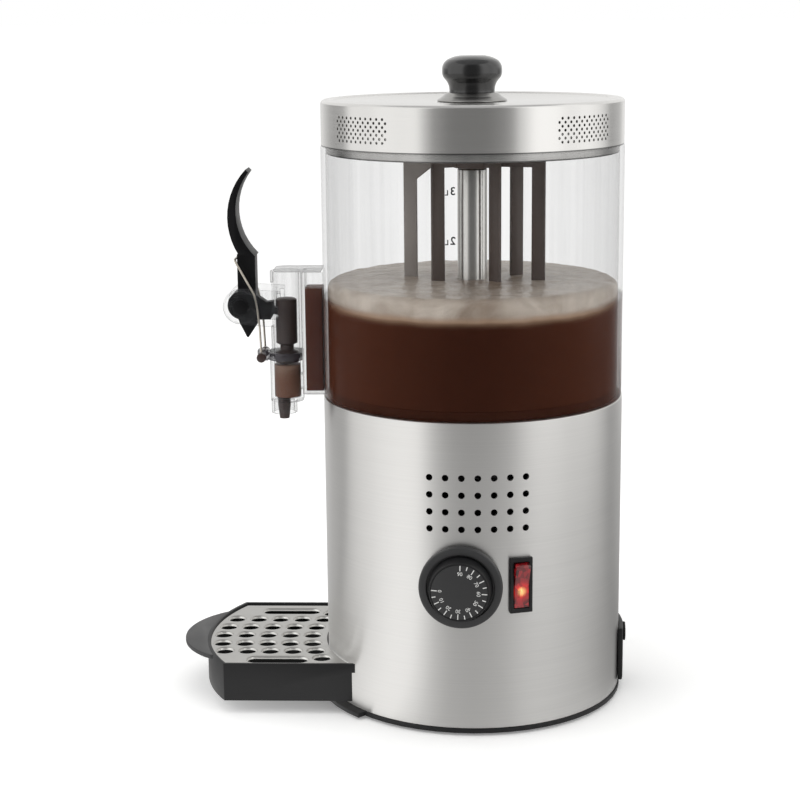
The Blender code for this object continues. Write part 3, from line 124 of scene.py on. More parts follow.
def brushedStainless(name, **changes):
    look = {**brushed, **changes}
    colour, roughness, spread, tone = linear(look["colour"]), look["roughness"], look["spread"], look["tone"]
    material, tree, shader = startMaterial(name, {
        "Base Color": colour, "Metallic": 1.0, "Roughness": roughness,
        "Anisotropic": look["stretch"], "Anisotropic Rotation": 0.25})
    x, y, z = placeAxes(tree)
    plan = addNode(tree, "CombineXYZ", links={"X": x, "Y": y})
    reach = addNode(tree, "VectorMath", lengthOf, {0: plan})
    across = addNode(tree, "Math", add, {0: reach, 1: z})
    place = addNode(tree, "CombineXYZ", links={"X": x, "Y": y, "Z": across})
    along, over = 1 / look["lineLength"], 1 / look["lineSpacing"]
    stretched = addNode(tree, "VectorMath", {"operation": "MULTIPLY", 1: (along, along, over)}, {0: place})
    lines = addNode(tree, "TexNoise", {"Scale": 1.0, "Detail": 3.0, "Roughness": 0.6}, {"Vector": stretched})
    light = addNode(tree, "MapRange", {**noiseSpan, "To Min": 1 - tone, "To Max": 1 + tone}, {"Value": lines})
    if "bands" in look:  # painted shade: dark lines at given heights, such as under the lid's hem, and darkened faces inside the wall
        low, high = look["bands"][0][0], look["bands"][-1][0]
        share = addNode(tree, "MapRange", {"From Min": low, "From Max": high}, {"Value": z})
        ramp = addNode(tree, "ValToRGB", links={"Fac": share})
        setStops(ramp, [((height - low) / (high - low), value) for height, value in look["bands"]])
        inner = addNode(tree, "Math", {"operation": "LESS_THAN", 1: look["skin"]}, {0: reach})
        under = addNode(tree, "Math", {"operation": "LESS_THAN", 1: look["skinTop"]}, {0: z})
        hidden = addNode(tree, "Math", multiply, {0: inner, 1: under})
        keep = addNode(tree, "MapRange", {"To Min": 1.0, "To Max": look["hidden"]}, {"Value": hidden})
        banded = addNode(tree, "Math", multiply, {0: light, 1: ramp})
        light = addNode(tree, "Math", multiply, {0: banded, 1: keep})
    shade = addNode(tree, "VectorMath", {"operation": "SCALE", 0: colour[:3]}, {"Scale": light})
    dull = addNode(tree, "MapRange",
                   {**noiseSpan, "To Min": roughness - spread, "To Max": roughness + spread},
                   {"Value": lines})
    relief = addNode(tree, "Bump", {"Strength": look["relief"], "Distance": 0.0002}, {"Height": lines})
    way = addNode(tree, "Tangent", {"direction_type": "RADIAL", "axis": "Z"})
    joinTo(shader, {"Base Color": shade, "Roughness": dull, "Normal": relief, "Tangent": way})
    return material


# Plain metal parts as they leave the press, the mould or the plating bath: a soft cloudy sheen
def worksMetal(name, colour, roughness, spread, cloud, strength, rimTop=None, rimHighlight=None):
    colour = linear(colour)
    material, tree, shader = startMaterial(name, {
        "Base Color": colour, "Metallic": 1.0, "Roughness": roughness})
    clouds = addNode(tree, "TexNoise", {"Scale": 1.0, "Detail": 4.0},
                     {"Vector": scaledPlace(tree, 1 / cloud)})
    dull = addNode(tree, "MapRange",
                   {**noiseSpan, "To Min": roughness - spread, "To Max": roughness + spread},
                   {"Value": clouds})
    relief = addNode(tree, "Bump", {"Strength": strength, "Distance": 0.0002}, {"Height": clouds})
    joinTo(shader, {"Roughness": dull, "Normal": relief})
    if rimTop:  # painted highlight: the flared edges of the holes, below rimTop, are painted brighter than the sheet
        rimSoftness = 0.0004
        rim = addNode(tree, "MapRange", {"From Min": rimTop - rimSoftness, "From Max": rimTop,
                                         **falling}, {"Value": placeAxes(tree)["Z"]})
        cast = addNode(tree, "Mix", {**blend, 6: colour, 7: linear(rimHighlight)}, {0: rim})
        joinTo(shader, {"Base Color": cast})
    return material


# Injection moulded plastic and rubber: one colour through and through, the mould's spark-eroded grain on
# top, and a slightly uneven gloss. The grain is drawn as coarse as the render can show.
moulded = {"roughness": 0.42, "ior": 1.54, "gloss": 0.5, "grain": 0.0006, "cloud": 0.010, "tone": 0.05,
           "relief": 0.30, "coat": 0.0, "coatRoughness": 0.03}


def mouldedPlastic(name, **changes):
    look = {**moulded, **changes}
    colour, roughness, tone = linear(look["colour"]), look["roughness"], look["tone"]
    duller, glossier = 0.06, 0.04
    material, tree, shader = startMaterial(name, {
        "Base Color": colour, "Roughness": roughness, "IOR": look["ior"], "Specular IOR Level": look["gloss"],
        "Coat Weight": look["coat"], "Coat Roughness": look["coatRoughness"]})
    grain = addNode(tree, "TexNoise", {"Scale": 1.0, "Detail": 2.0},
                    {"Vector": scaledPlace(tree, 1 / look["grain"])})
    clouds = addNode(tree, "TexNoise", {"Scale": 1.0, "Detail": 3.0},
                     {"Vector": scaledPlace(tree, 1 / look["cloud"])})
    light = addNode(tree, "MapRange", {**noiseSpan, "To Min": 1 - tone, "To Max": 1 + tone},
                    {"Value": clouds})
    shade = addNode(tree, "VectorMath", {"operation": "SCALE", 0: colour[:3]}, {"Scale": light})
    dull = addNode(tree, "MapRange",
                   {**noiseSpan, "To Min": roughness - glossier, "To Max": roughness + duller},
                   {"Value": clouds})
    relief = addNode(tree, "Bump", {"Strength": look["relief"], "Distance": 0.0001}, {"Height": grain})
    joinTo(shader, {"Base Color": shade, "Roughness": dull, "Normal": relief})
    return material


# Clear moulded SAN: a faint grey face on, a dark line wherever the wall is seen edge on, and faint upright
# flow lines from the mould. Below the drink's level the edge-on line takes the drink's colour, a painted
# refraction of the drink.
drinkTintFade = {"below": 0.0040, "above": 0.0020}  # how far the painted drink tint fades out on both sides of the drink's level


def clearStyrene(name, look):
    colour = linear(look["colour"])
    material, tree, shader = startMaterial(name, {"Base Color": colour, "Roughness": 0.08, "IOR": 1.57})
    facing = addNode(tree, "LayerWeight", {"Blend": 0.5}).outputs["Facing"]
    limb = addNode(tree, "Math", {"operation": "POWER", 1: look["falloff"]}, {0: facing})
    flow = addNode(tree, "TexNoise", {"Scale": 1.0, "Detail": 3.0},
                   {"Vector": scaledPlace(tree, 1 / look["flow"], 1 / look["flow"], 3.0)})
    streak = addNode(tree, "MapRange", {"From Min": 0.35, "From Max": 0.7, "To Max": look["streak"]},
                     {"Value": flow})
    body = addNode(tree, "MapRange", {"To Min": look["faceOn"], "To Max": look["faceOn"] + look["slope"]},
                   {"Value": facing})
    hazy = addNode(tree, "Math", add, {0: body, 1: streak})
    edge = addNode(tree, "Math", {"operation": "MULTIPLY", 1: look["edgeOn"]}, {0: limb})
    total = addNode(tree, "Math", {"operation": "ADD", "use_clamp": True}, {0: hazy, 1: edge})
    # painted refraction: the drink's colour on the wall's edge below the drink's level
    if "drinkTintLevel" in look:
        level = look["drinkTintLevel"]
        belowDrink = addNode(tree, "MapRange",
                      {"From Min": level - drinkTintFade["below"], "From Max": level + drinkTintFade["above"],
                       **falling, **eased},
                      {"Value": placeAxes(tree)["Z"]})
        tint = addNode(tree, "Mix", {**blend, 6: colour, 7: linear(look["drinkTintColour"])}, {0: belowDrink})
        sheen = addNode(tree, "MapRange", {"To Min": 0.5, "To Max": 0.08}, {"Value": belowDrink})
        limbSquared = addNode(tree, "Math", {"operation": "POWER", 1: 2.0}, {0: facing})
        film = addNode(tree, "Math", multiply, {0: limbSquared, 1: belowDrink})
        total = addNode(tree, "Math", greater, {0: total, 1: film})
        joinTo(shader, {"Base Color": tint, "Specular IOR Level": sheen})
    joinTo(shader, {"Alpha": total})
    return material


# Hot chocolate: dark under the surface and redder where the glass turns away, with a band of froth that
# feathers into it and a pale top of fine bubbles. The top is darker in a ring round the column, partly
# stirred froth and partly painted shade of the column and blades, and has a painted shade streak from the
# column towards +X
froth = {
    "patchScale": (38.0, 38.0, 60.0),
    "swayScale": (45.0, 45.0, 90.0),
    "bubbleScale": 650.0,
    # the ring and the streak below are painted shade on the froth, the ring also partly stirred froth
    "stirredShadeRing": (0.020, 0.060),
    "stirredShadeTone": -0.25,
    "shadeStreakMiddle": 0.004,
    "shadeStreakHalf": (0.006, 0.026),
    "shadeStreakTone": -0.32,
    "shadeStreakStart": 0.020,
}


def hotChocolate(name, look):
    material, tree, shader = startMaterial(name, {"Base Color": linear(look["deep"]), "IOR": 1.35})
    facing = addNode(tree, "LayerWeight", {"Blend": 0.5}).outputs["Facing"]
    thin = addNode(tree, "Math", {"operation": "POWER", 1: 0.5}, {0: facing})
    body = addNode(tree, "Mix", {**blend, 6: linear(look["deep"]), 7: linear(look["rim"])},
                   {0: thin})
    x, y, z = placeAxes(tree)
    wide = addNode(tree, "TexNoise", {"Scale": 1.0, "Detail": 3.0},
                   {"Vector": scaledPlace(tree, *froth["swayScale"])})
    sway = addNode(tree, "MapRange", {"To Min": -look["feather"], "To Max": look["feather"]}, {"Value": wide})
    height = addNode(tree, "Math", add, {0: z, 1: sway})
    rise = addNode(tree, "MapRange", {"From Min": look["frothLow"], "From Max": look["frothHigh"]},
                   {"Value": height})
    share = addNode(tree, "Math", {"operation": "POWER", 1: 3.0}, {0: rise})
    top = addNode(tree, "MapRange", {"From Min": look["topLow"], "From Max": look["topHigh"],
                                     **eased}, {"Value": height})
    swirl = addNode(tree, "TexNoise", {"Scale": 1.0, "Detail": 6.0, "Distortion": 1.0},
                    {"Vector": scaledPlace(tree, *froth["patchScale"])})
    plan = addNode(tree, "CombineXYZ", links={"X": x, "Y": y})
    reach = addNode(tree, "VectorMath", lengthOf, {0: plan})
    # darker froth in a ring round the column: partly stirred froth, partly painted shade of the column and
    # blades
    ring = addNode(tree, "MapRange",
                   {"From Min": froth["stirredShadeRing"][0], "From Max": froth["stirredShadeRing"][1],
                    "To Min": froth["stirredShadeTone"], "To Max": 0.0}, {"Value": reach})
    # painted shade: a darker streak from the column towards +X
    aside = addNode(tree, "Math", {"operation": "SUBTRACT", 1: froth["shadeStreakMiddle"]}, {0: y})
    apart = addNode(tree, "Math", {"operation": "ABSOLUTE"}, {0: aside})
    streakShade = addNode(tree, "MapRange",
                   {"From Min": froth["shadeStreakHalf"][0], "From Max": froth["shadeStreakHalf"][1],
                    "To Min": froth["shadeStreakTone"], "To Max": 0.0, **eased},
                   {"Value": apart})
    ahead = addNode(tree, "MapRange", {"From Min": 0.0, "From Max": froth["shadeStreakStart"]}, {"Value": x})
    streakShadeAhead = addNode(tree, "Math", multiply, {0: streakShade, 1: ahead})
    stirredAndShaded = addNode(tree, "Math", add, {0: ring, 1: streakShadeAhead})
    patchy = addNode(tree, "Math", {"operation": "ADD", "use_clamp": True}, {0: swirl, 1: stirredAndShaded})
    topMix = addNode(tree, "Mix", {**blend, 6: linear(look["frothDark"]),
                                   7: linear(look["frothLight"])}, {0: patchy})
    frothMix = addNode(tree, "Mix", {**blend, 6: linear(look["frothSide"])}, {0: top, 7: topMix})
    colour = addNode(tree, "Mix", blend, {0: share, 6: body, 7: frothMix})
    sheen = addNode(tree, "MapRange", {"To Min": look["gloss"], "To Max": look["topGloss"]}, {"Value": top})
    film = addNode(tree, "MapRange", {"To Min": 0.45, "To Max": 0.26}, {"Value": top})
    bubbles = addNode(tree, "TexVoronoi", {"Scale": 1.0}, {"Vector": scaledPlace(tree, froth["bubbleScale"])})
    foam = addNode(tree, "Math", multiply, {0: bubbles, 1: top})
    relief = addNode(tree, "Bump", {"Strength": 0.3, "Distance": 0.0005}, {"Height": foam})
    joinTo(shader, {"Base Color": colour, "Specular IOR Level": sheen, "Roughness": film, "Normal": relief})
    return material


# Translucent red polycarbonate with a small lamp behind it: deep red where it is thick or turned away,
# orange where the lamp shines through
def litPolycarbonate(name, look):
    deep, colour = linear(look["deep"]), linear(look["colour"])
    material, tree, shader = startMaterial(name, {
        "Base Color": colour, "Roughness": 0.14, "IOR": 1.58, "Specular IOR Level": 0.8})
    cells = addNode(tree, "TexVoronoi", {"Scale": 1.0}, {"Vector": scaledPlace(tree, *look["prismScale"])})
    prism = addNode(tree, "SeparateColor", links={0: cells.outputs["Color"]})
    cast = addNode(tree, "Mix", {**blend, 6: deep, 7: colour}, {0: prism})
    away = addNode(tree, "VectorMath", {"operation": "DISTANCE", 1: look["lampPlace"]},
                   {0: addNode(tree, "TexCoord").outputs["Object"]})
    glow = addNode(tree, "MapRange", {"From Max": look["reach"], **falling,
                                      **eased}, {"Value": away})
    spot = addNode(tree, "MapRange",
                   {"From Min": look["spot"] * 0.3, "From Max": look["spot"], **falling,
                    **eased}, {"Value": away})
    warm = addNode(tree, "Mix", {**blend, 6: linear(look["edge"]), 7: linear(look["core"])},
                   {0: spot})
    uneven = addNode(tree, "MapRange", {"To Min": 0.25, "To Max": 1.0}, {"Value": prism.outputs[1]})
    shine = addNode(tree, "Math", multiply, {0: glow, 1: uneven})
    strength = addNode(tree, "MapRange", {"To Max": look["power"]}, {"Value": shine})
    relief = addNode(tree, "Bump", {"Strength": 0.35, "Distance": 0.0004}, {"Height": prism})
    joinTo(shader, {"Base Color": cast, "Emission Color": warm, "Emission Strength": strength,
                    "Normal": relief})
    return material


finishes = {
    "drumSteel": brushedStainless("brushed_stainless_drum", roughness=0.34, spread=0.03, stretch=0.78,
                                  lineSpacing=0.0009, tone=0.022, relief=0.05),
    # painted shade on the lid: a dark line under its hem and darkened faces inside its wall
    "lidSteel": brushedStainless("brushed_stainless_lid", skin=0.0963, skinTop=0.3840, hidden=0.12, bands=[
        (0.3608, 0.20), (0.3615, 0.25), (0.3617, 1.0), (0.3900, 1.0)]),
    # painted shade on the spigot ring: a dark line at its lower edge and the whole ring darkened under the
    # lid
    "ringSteel": brushedStainless("brushed_stainless_ring", roughness=0.28, skin=0.0, skinTop=0.0, hidden=1.0,
                                  bands=[(0.3556, 0.20), (0.3563, 0.25), (0.3567, 0.72), (0.3635, 0.80)]),
    "bossSteel": brushedStainless("turned_stainless_boss", colour="#a3a2a0", roughness=0.22, stretch=0.40,
                                  lineLength=0.040),
    "columnSteel": brushedStainless("polished_stainless_tube", colour="#d8d7d4", stretch=0.50,
                                    lineSpacing=0.0010, lineLength=0.040, tone=0.02),
    # colour, roughness, its spread, the size of a cloud and the strength of the relief
    "pressedSteel": worksMetal("pressed_stainless_sheet", "#c2c1be", 0.30, 0.05, 0.0020, 0.08),
    # the grille's hole edges carry a painted highlight in a brighter colour
    "grilleSteel": worksMetal("pressed_stainless_grille", "#b7b6b3", 0.32, 0.04, 0.0050, 0.04,
                              rimTop=0.03020, rimHighlight="#f2f1ee"),
    "platedSteel": worksMetal("zinc_plated_steel", "#b4b5b8", 0.40, 0.06, 0.0030, 0.10),
    "castAluminium": worksMetal("cast_aluminium", "#b9babc", 0.50, 0.07, 0.0012, 0.40),
    "springWire": worksMetal("stainless_spring_wire", "#c4bdb2", 0.30, 0.04, 0.0020, 0.05),
    "turnedBrass": worksMetal("turned_brass", "#c9a45c", 0.30, 0.05, 0.0015, 0.08),
    "blackAbs": mouldedPlastic("moulded_abs_black", colour="#1c1c1d", cloud=0.030, gloss=0.28),
    # the dial's skirt and face are lighter copies of the black, painted light; the grip keeps the darker
    # black as painted shade in its groove
    "dialAbs": mouldedPlastic("moulded_abs_dial_skirt", colour="#323233", grain=0.0005, cloud=0.012,
                              tone=0.08, relief=0.35),
    "faceAbs": mouldedPlastic("moulded_abs_dial_face", colour="#2a2a2b", roughness=0.50, grain=0.0005,
                              cloud=0.012),
    "glossPhenolic": mouldedPlastic("moulded_phenolic_gloss_black", colour="#121213", roughness=0.20,
                                    ior=1.60, grain=0.0008, tone=0.04, relief=0.02, gloss=0.45, coat=0.5,
                                    coatRoughness=0.10),
    "blackNylon": mouldedPlastic("moulded_nylon_black", colour="#0c0c0e", ior=1.53, grain=0.0005, cloud=0.012,
                                 relief=0.12, gloss=0.16),
    "brownAcetal": mouldedPlastic("moulded_acetal_brown", colour="#554943", ior=1.48, grain=0.0007,
                                  cloud=0.020, tone=0.06, relief=0.15),
    # a lighter copy of the brown acetal: painted light on one blade
    "litBladeAcetal": mouldedPlastic("moulded_acetal_painted_light", colour="#9d9691", roughness=0.50, ior=1.48,
                                 grain=0.0007, cloud=0.020, tone=0.06, relief=0.15),
    "darkAcetal": mouldedPlastic("moulded_acetal_dark", colour="#3a2a26", roughness=0.34, ior=1.48,
                                 grain=0.0007, tone=0.06, relief=0.10),
    "paleCeramic": mouldedPlastic("pressed_steatite_pale", colour="#d8d4c8", roughness=0.60, ior=1.55,
                                  grain=0.0008),
    "blackRubber": mouldedPlastic("moulded_rubber_black", colour="#201d1c", roughness=0.75, ior=1.52,
                                  tone=0.08, relief=0.35),
    "brownSilicone": mouldedPlastic("moulded_silicone_brown", colour="#3e2117", roughness=0.55, ior=1.41,
                                    tone=0.06, relief=0.10, gloss=0.05),
    # a rougher, darker copy of the black for the inside of the tray; its darker colour is painted shade
    "trayShadeAbs": mouldedPlastic("moulded_abs_rough_black_painted_shade", colour="#0d0d0d", roughness=0.80, cloud=0.020,
                                relief=0.40, gloss=0.05),
    # the tray's handle: the same black made glossier and lighter in colour; the lighter colour is painted
    # light from above
    "satinLitAbs": mouldedPlastic("moulded_abs_satin_black_painted_light", colour="#2c2c2d", roughness=0.40, cloud=0.020,
                               gloss=0.55),
    "tankStyrene": clearStyrene("clear_styrene_tank", {
        "colour": "#3c3d40", "faceOn": 0.018, "slope": 0.12, "edgeOn": 0.50, "falloff": 11.0, "flow": 0.008,
        "streak": 0.05, "drinkTintLevel": 0.2660, "drinkTintColour": "#4a281c"}),
    "tapStyrene": clearStyrene("clear_styrene_tap", {
        "colour": "#66676a", "faceOn": 0.040, "slope": 0.10, "edgeOn": 0.80, "falloff": 4.5, "flow": 0.003,
        "streak": 0.05}),
    "smokedStyrene": clearStyrene("clear_styrene_smoked_collar", {
        "colour": "#4a464c", "faceOn": 0.40, "slope": 0.30, "edgeOn": 0.20, "falloff": 3.0, "flow": 0.003,
        "streak": 0.10}),
    "whiteInk": mouldedPlastic("screen_printed_white_ink", colour="#e4e4e2", roughness=0.55, ior=1.50,
                               cloud=0.004, tone=0.04, relief=0.05),
    "greyInk": mouldedPlastic("screen_printed_grey_ink", colour="#35363a", roughness=0.55, ior=1.50,
                              cloud=0.004, tone=0.04, relief=0.05),
}
print("finishes made:", len(finishes))


# Shapes: outlines, turned and raised solids, and what joins, cuts and rounds them

def polar(radius, azimuth):
    return (radius * math.cos(azimuth), radius * math.sin(azimuth))


def arc(centre, radius, start, end, steps):
    angles = [start + (end - start) * step / steps for step in range(steps + 1)]
    return [(centre[0] + radius * math.cos(a), centre[1] + radius * math.sin(a)) for a in angles]


def rounded(corners, steps=4):  # corners are (x, y) or, with a fillet, (x, y, radius)
    outline = []
    for place, corner in enumerate(corners):
        if len(corner) == 2:
            outline.append(corner)
            continue
        here = Vector(corner[:2])
        before = (Vector(corners[place - 1][:2]) - here).normalized()
        after = (Vector(corners[(place + 1) % len(corners)][:2]) - here).normalized()
        half = before.angle(after) / 2
        centre = here + (before + after).normalized() * corner[2] / math.sin(half)
        start = here + before * corner[2] / math.tan(half) - centre
        end = here + after * corner[2] / math.tan(half) - centre
        first = math.atan2(start.y, start.x)
        turn = (math.atan2(end.y, end.x) - first + math.pi) % (2 * math.pi) - math.pi
        outline += arc(centre, corner[2], first, first + turn, steps)
    return outline


tiny = 1e-7  # a radius or a step of the outline below this counts as none


def turned(outline, steps):  # a closed outline of (radius, height), turned about Z
    shape = bmesh.new()
    rings = []
    for radius, height in outline:
        if radius < tiny:
            rings.append([shape.verts.new((0, 0, height))] * steps)
            continue
        angles = [2 * math.pi * step / steps for step in range(steps)]
        rings.append([shape.verts.new((*polar(radius, angle), height)) for angle in angles])
    for place, (radius, height) in enumerate(outline):
        following = (place + 1) % len(outline)
        nextRadius, nextHeight = outline[following]
        if min(radius, nextRadius) < tiny and abs(height - nextHeight) < tiny:
            if max(radius, nextRadius) > tiny:
                shape.faces.new(rings[place] if radius > tiny else rings[following])
            continue
        for here in range(steps):
            there = (here + 1) % steps
            lower, upper = rings[place], rings[following]
            corners = list(dict.fromkeys([lower[here], lower[there], upper[there], upper[here]]))
            if len(corners) > 2:
                shape.faces.new(corners)
    loose = [corner for corner in shape.verts if not corner.link_faces]
    bmesh.ops.delete(shape, geom=loose, context="VERTS")
    bmesh.ops.recalc_face_normals(shape, faces=shape.faces)
    return shape


def raised(outline, low, high):  # a closed outline in X and Y, raised along Z
    shape = bmesh.new()
    floor = [shape.verts.new((x, y, low)) for x, y in outline]
    roof = [shape.verts.new((x, y, high)) for x, y in outline]
    shape.faces.new(floor)
    shape.faces.new(roof)
    for here in range(len(outline)):
        there = (here + 1) % len(outline)
        shape.faces.new((floor[here], floor[there], roof[there], roof[here]))
    bmesh.ops.recalc_face_normals(shape, faces=shape.faces)
    return shape


def block(low, high):
    corners = [(low[0], low[1]), (high[0], low[1]), (high[0], high[1]), (low[0], high[1])]
    return raised(corners, low[2], high[2])


def post(radius, low, high, steps):  # a round bar along Z, to cut a hole with
    return raised(arc((0, 0), radius, 0, 2 * math.pi, steps)[:-1], low, high)


def moved(shape, matrix):
    shape.transform(matrix)
    return shape


def gathered(shapes):  # several shapes as one
    whole = bmesh.new()
    for shape in shapes:
        mesh = bpy.data.meshes.new("gathered")
        shape.to_mesh(mesh)
        shape.free()
        whole.from_mesh(mesh)
        bpy.data.meshes.remove(mesh)
    return whole


# Local X runs round the drum, Y is up and Z points outward
def radialFrame(azimuth, height, reach=0.0):
    matrix = Matrix.Identity(4)
    matrix.col[0].xyz = (-math.sin(azimuth), math.cos(azimuth), 0)
    matrix.col[1].xyz = (0, 0, 1)
    matrix.col[2].xyz = (math.cos(azimuth), math.sin(azimuth), 0)
    matrix.col[3].xyz = (*polar(reach, azimuth), height)
    return matrix


def newPiece(name, shape):
    mesh = bpy.data.meshes.new(name)
    shape.to_mesh(mesh)
    shape.free()
    piece = bpy.data.objects.new(name, mesh)
    bpy.context.scene.collection.objects.link(piece)
    return piece


def settle(piece):  # makes what the modifiers show the piece's own mesh
    bpy.context.view_layer.update()
    shown = piece.evaluated_get(bpy.context.evaluated_depsgraph_get())
    mesh = bpy.data.meshes.new_from_object(shown)
    piece.modifiers.clear()
    old = piece.data
    piece.data = mesh
    bpy.data.meshes.remove(old)
    mesh.name = piece.name
    return piece


def combine(piece, shape, operation):
    tool = newPiece("tool", shape)
    modifier = piece.modifiers.new("combine", "BOOLEAN")
    modifier.operation = operation
    modifier.solver = "EXACT"
    modifier.object = tool
    settle(piece)
    spare = tool.data
    bpy.data.objects.remove(tool)
    bpy.data.meshes.remove(spare)
    return piece


def smooth(piece, angle=32):
    piece.data.shade_smooth()
    piece.data.set_sharp_from_angle(angle=math.radians(angle))
    return piece


def roundEdges(piece, width, steps=2, angle=35):
    bevel = piece.modifiers.new("edges", "BEVEL")
    bevel.width = width
    bevel.segments = steps
    bevel.limit_method = "ANGLE"
    bevel.angle_limit = math.radians(angle)
    settle(piece)
    return smooth(piece, 30)


# A CAD node's own shape with its flat faces made whole again and its edges rounded as a mould leaves them
sameCorner = 0.00002
sameFace = math.radians(0.6)


def refined(name, node, width, steps=2, angle=35):
    shape = bmesh.new()
    shape.from_mesh(nodes[node].data)
    bmesh.ops.remove_doubles(shape, verts=shape.verts, dist=sameCorner)
    bmesh.ops.dissolve_limit(shape, angle_limit=sameFace, verts=shape.verts, edges=shape.edges)
    return roundEdges(newPiece(name, shape), width, steps, angle)


# Gives a drum's outer wall the true round normals, whatever the cuts did to its faces
def trueRound(piece, radius, tolerance=0.0004, outwardEnough=0.97):
    smooth(piece)
    mesh = piece.data
    normals = [Vector(corner.vector) for corner in mesh.corner_normals]
    for face in mesh.polygons:
        centre = Vector((face.center.x, face.center.y, 0))
        outward = centre.normalized()
        if abs(centre.length - radius) > tolerance * 4 or face.normal.dot(outward) < outwardEnough:
            continue
        for corner in face.loop_indices:
            place = mesh.vertices[mesh.loops[corner].vertex_index].co
            if abs(math.hypot(place.x, place.y) - radius) < tolerance:
                normals[corner] = Vector((place.x, place.y, 0)).normalized()
    mesh.normals_split_custom_set([tuple(normal) for normal in normals])
    return piece


def dress(piece, body, finish, slot, *stoodFor):
    piece.data.materials.clear()
    piece.data.materials.append(finish if isinstance(finish, bpy.types.Material) else finishes[finish])
    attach(piece, body)
    if stoodFor:
        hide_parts(*stoodFor)
    return piece


# Finishes of the CAD nodes that are shown as they are

cadFinishes = {
    "platedSteel": ["support_ring", "column_nut", "drive_shaft", "gear_output_shaft", "motor", "heater_ring",
                    "motor_bracket", "dial_stem", "lid_screw", "foot_screw_1", "foot_screw_2", "foot_screw_3",
                    "foot_screw_4", "thermal_cutout"],
    "castAluminium": ["shaft_coupling"], "turnedBrass": ["shaft_bush"], "paleCeramic": ["thermostat_body"],
    "blackRubber": ["plunger_seal"], "brownSilicone": ["tank_seal"], "pressedSteel": ["heating_plate"],
}
for finish, names in cadFinishes.items():
    for name in names:
        nodes[name].data.materials.clear()
        nodes[name].data.materials.append(finishes[finish])
print("CAD nodes finished")


# Steel drum

drumLow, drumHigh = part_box("body_shell")
drumRadius = drumHigh.x
drum = {
    "steps": 192,
    "wall": 0.0010,
    "topEdge": 0.0008,
    "flange": 0.0050,
    "ventRadius": 0.0021,
    "ventRows": 4,
    "ventColumns": 7,
    "ventPitch": 0.0108,
    "ventTurn": math.radians(5.9),
    "ventMiddle": math.radians(1.83),
    "ventDrop": 0.0342,
    "ventSteps": 24,
    "dialTurn": math.radians(-4.3),
    "dialHeight": 0.0966,
    "stemHole": 0.0046,
    "switchTurn": math.radians(17.5),
    "switchHeight": 0.0963,
    "switchHole": (0.0129, 0.0325),
    "glandTurn": math.radians(90),
    "glandHeight": 0.0340,
    "glandHole": 0.0054,
    "tongueSpread": 0.0300,
    "tongueHole": (0.0126, 0.0036),
    "tongueHeight": 0.0120,
}
cutIn, cutOut = 0.006, 0.004  # how far a hole's cutter reaches into and out of the drum's wall


def makeDrum():
    outline = rounded([(drumRadius, drumLow.z), (drumRadius, drumHigh.z, drum["topEdge"]),
                       (drumRadius - drum["flange"], drumHigh.z),
                       (drumRadius - drum["flange"], drumHigh.z - drum["wall"]),
                       (drumRadius - drum["wall"], drumHigh.z - drum["wall"]),
                       (drumRadius - drum["wall"], drumLow.z)])
    piece = newPiece("steel_drum", turned(outline, drum["steps"]))
    inside, outside = drumRadius - cutIn, drumRadius + cutOut
    holes = []
    for row in range(drum["ventRows"]):
        for column in range(drum["ventColumns"]):
            turn = drum["ventMiddle"] + drum["ventTurn"] * (column - (drum["ventColumns"] - 1) / 2)
            height = drumHigh.z - drum["ventDrop"] - drum["ventPitch"] * row
            holes.append((drum["ventRadius"], turn, height))
    holes.append((drum["stemHole"], drum["dialTurn"], drum["dialHeight"]))
    holes.append((drum["glandHole"], drum["glandTurn"], drum["glandHeight"]))
    tools = [moved(post(radius, inside, outside, drum["ventSteps"]), radialFrame(turn, height))
             for radius, turn, height in holes]
    width, height = drum["switchHole"]
    window = block((-width / 2, -height / 2, inside), (width / 2, height / 2, outside))
    tools.append(moved(window, radialFrame(drum["switchTurn"], drum["switchHeight"])))
    width, height = drum["tongueHole"]
    low, high = drum["tongueHeight"] - height / 2, drum["tongueHeight"] + height / 2
    for middle in (-drum["tongueSpread"], drum["tongueSpread"]):
        tools.append(block((middle - width / 2, -drumRadius - cutOut, low),
                           (middle + width / 2, -drumRadius + 2 * cutIn, high)))
    combine(piece, gathered(tools), "DIFFERENCE")
    trueRound(piece, drumRadius)
    return dress(piece, "root", "drumSteel", "brushed_stainless", "body_shell")


makeDrum()
print("drum made")


# Base plate with its lug, feet, rear cover and cord gland

base = {"edge": 0.0006, "footEdge": 0.0008, "coverEdge": 0.0007, "glandEdge": 0.0006}


def makeBase():
    plate = refined("base_tray", "base_plate", base["edge"])
    dress(plate, "root", "blackAbs", "black_moulding", "base_plate")
    for foot in ("foot_1", "foot_2", "foot_3", "foot_4"):
        dress(refined("rubber_" + foot, foot, base["footEdge"]), "root", "blackRubber", "black_rubber", foot)
    cover = refined("cord_cover", "rear_cover", base["coverEdge"])
    dress(cover, "root", "blackAbs", "black_moulding", "rear_cover")
    gland = refined("cord_entry", "cord_gland", base["glandEdge"])
    dress(gland, "root", "blackRubber", "black_rubber", "cord_gland")


makeBase()
print("base made")


# Inside the drum: gearbox and terminal block

inside = {"gearboxEdge": 0.0006, "terminalEdge": 0.0005}


def makeInside():
    gearbox = refined("gear_housing", "gearbox", inside["gearboxEdge"])
    dress(gearbox, "root", "castAluminium", "cast_aluminium", "gearbox")
    terminals = refined("wire_terminals", "terminal_block", inside["terminalEdge"])
    dress(terminals, "root", "paleCeramic", "pale_moulding", "terminal_block")


makeInside()


# Tank with its side duct

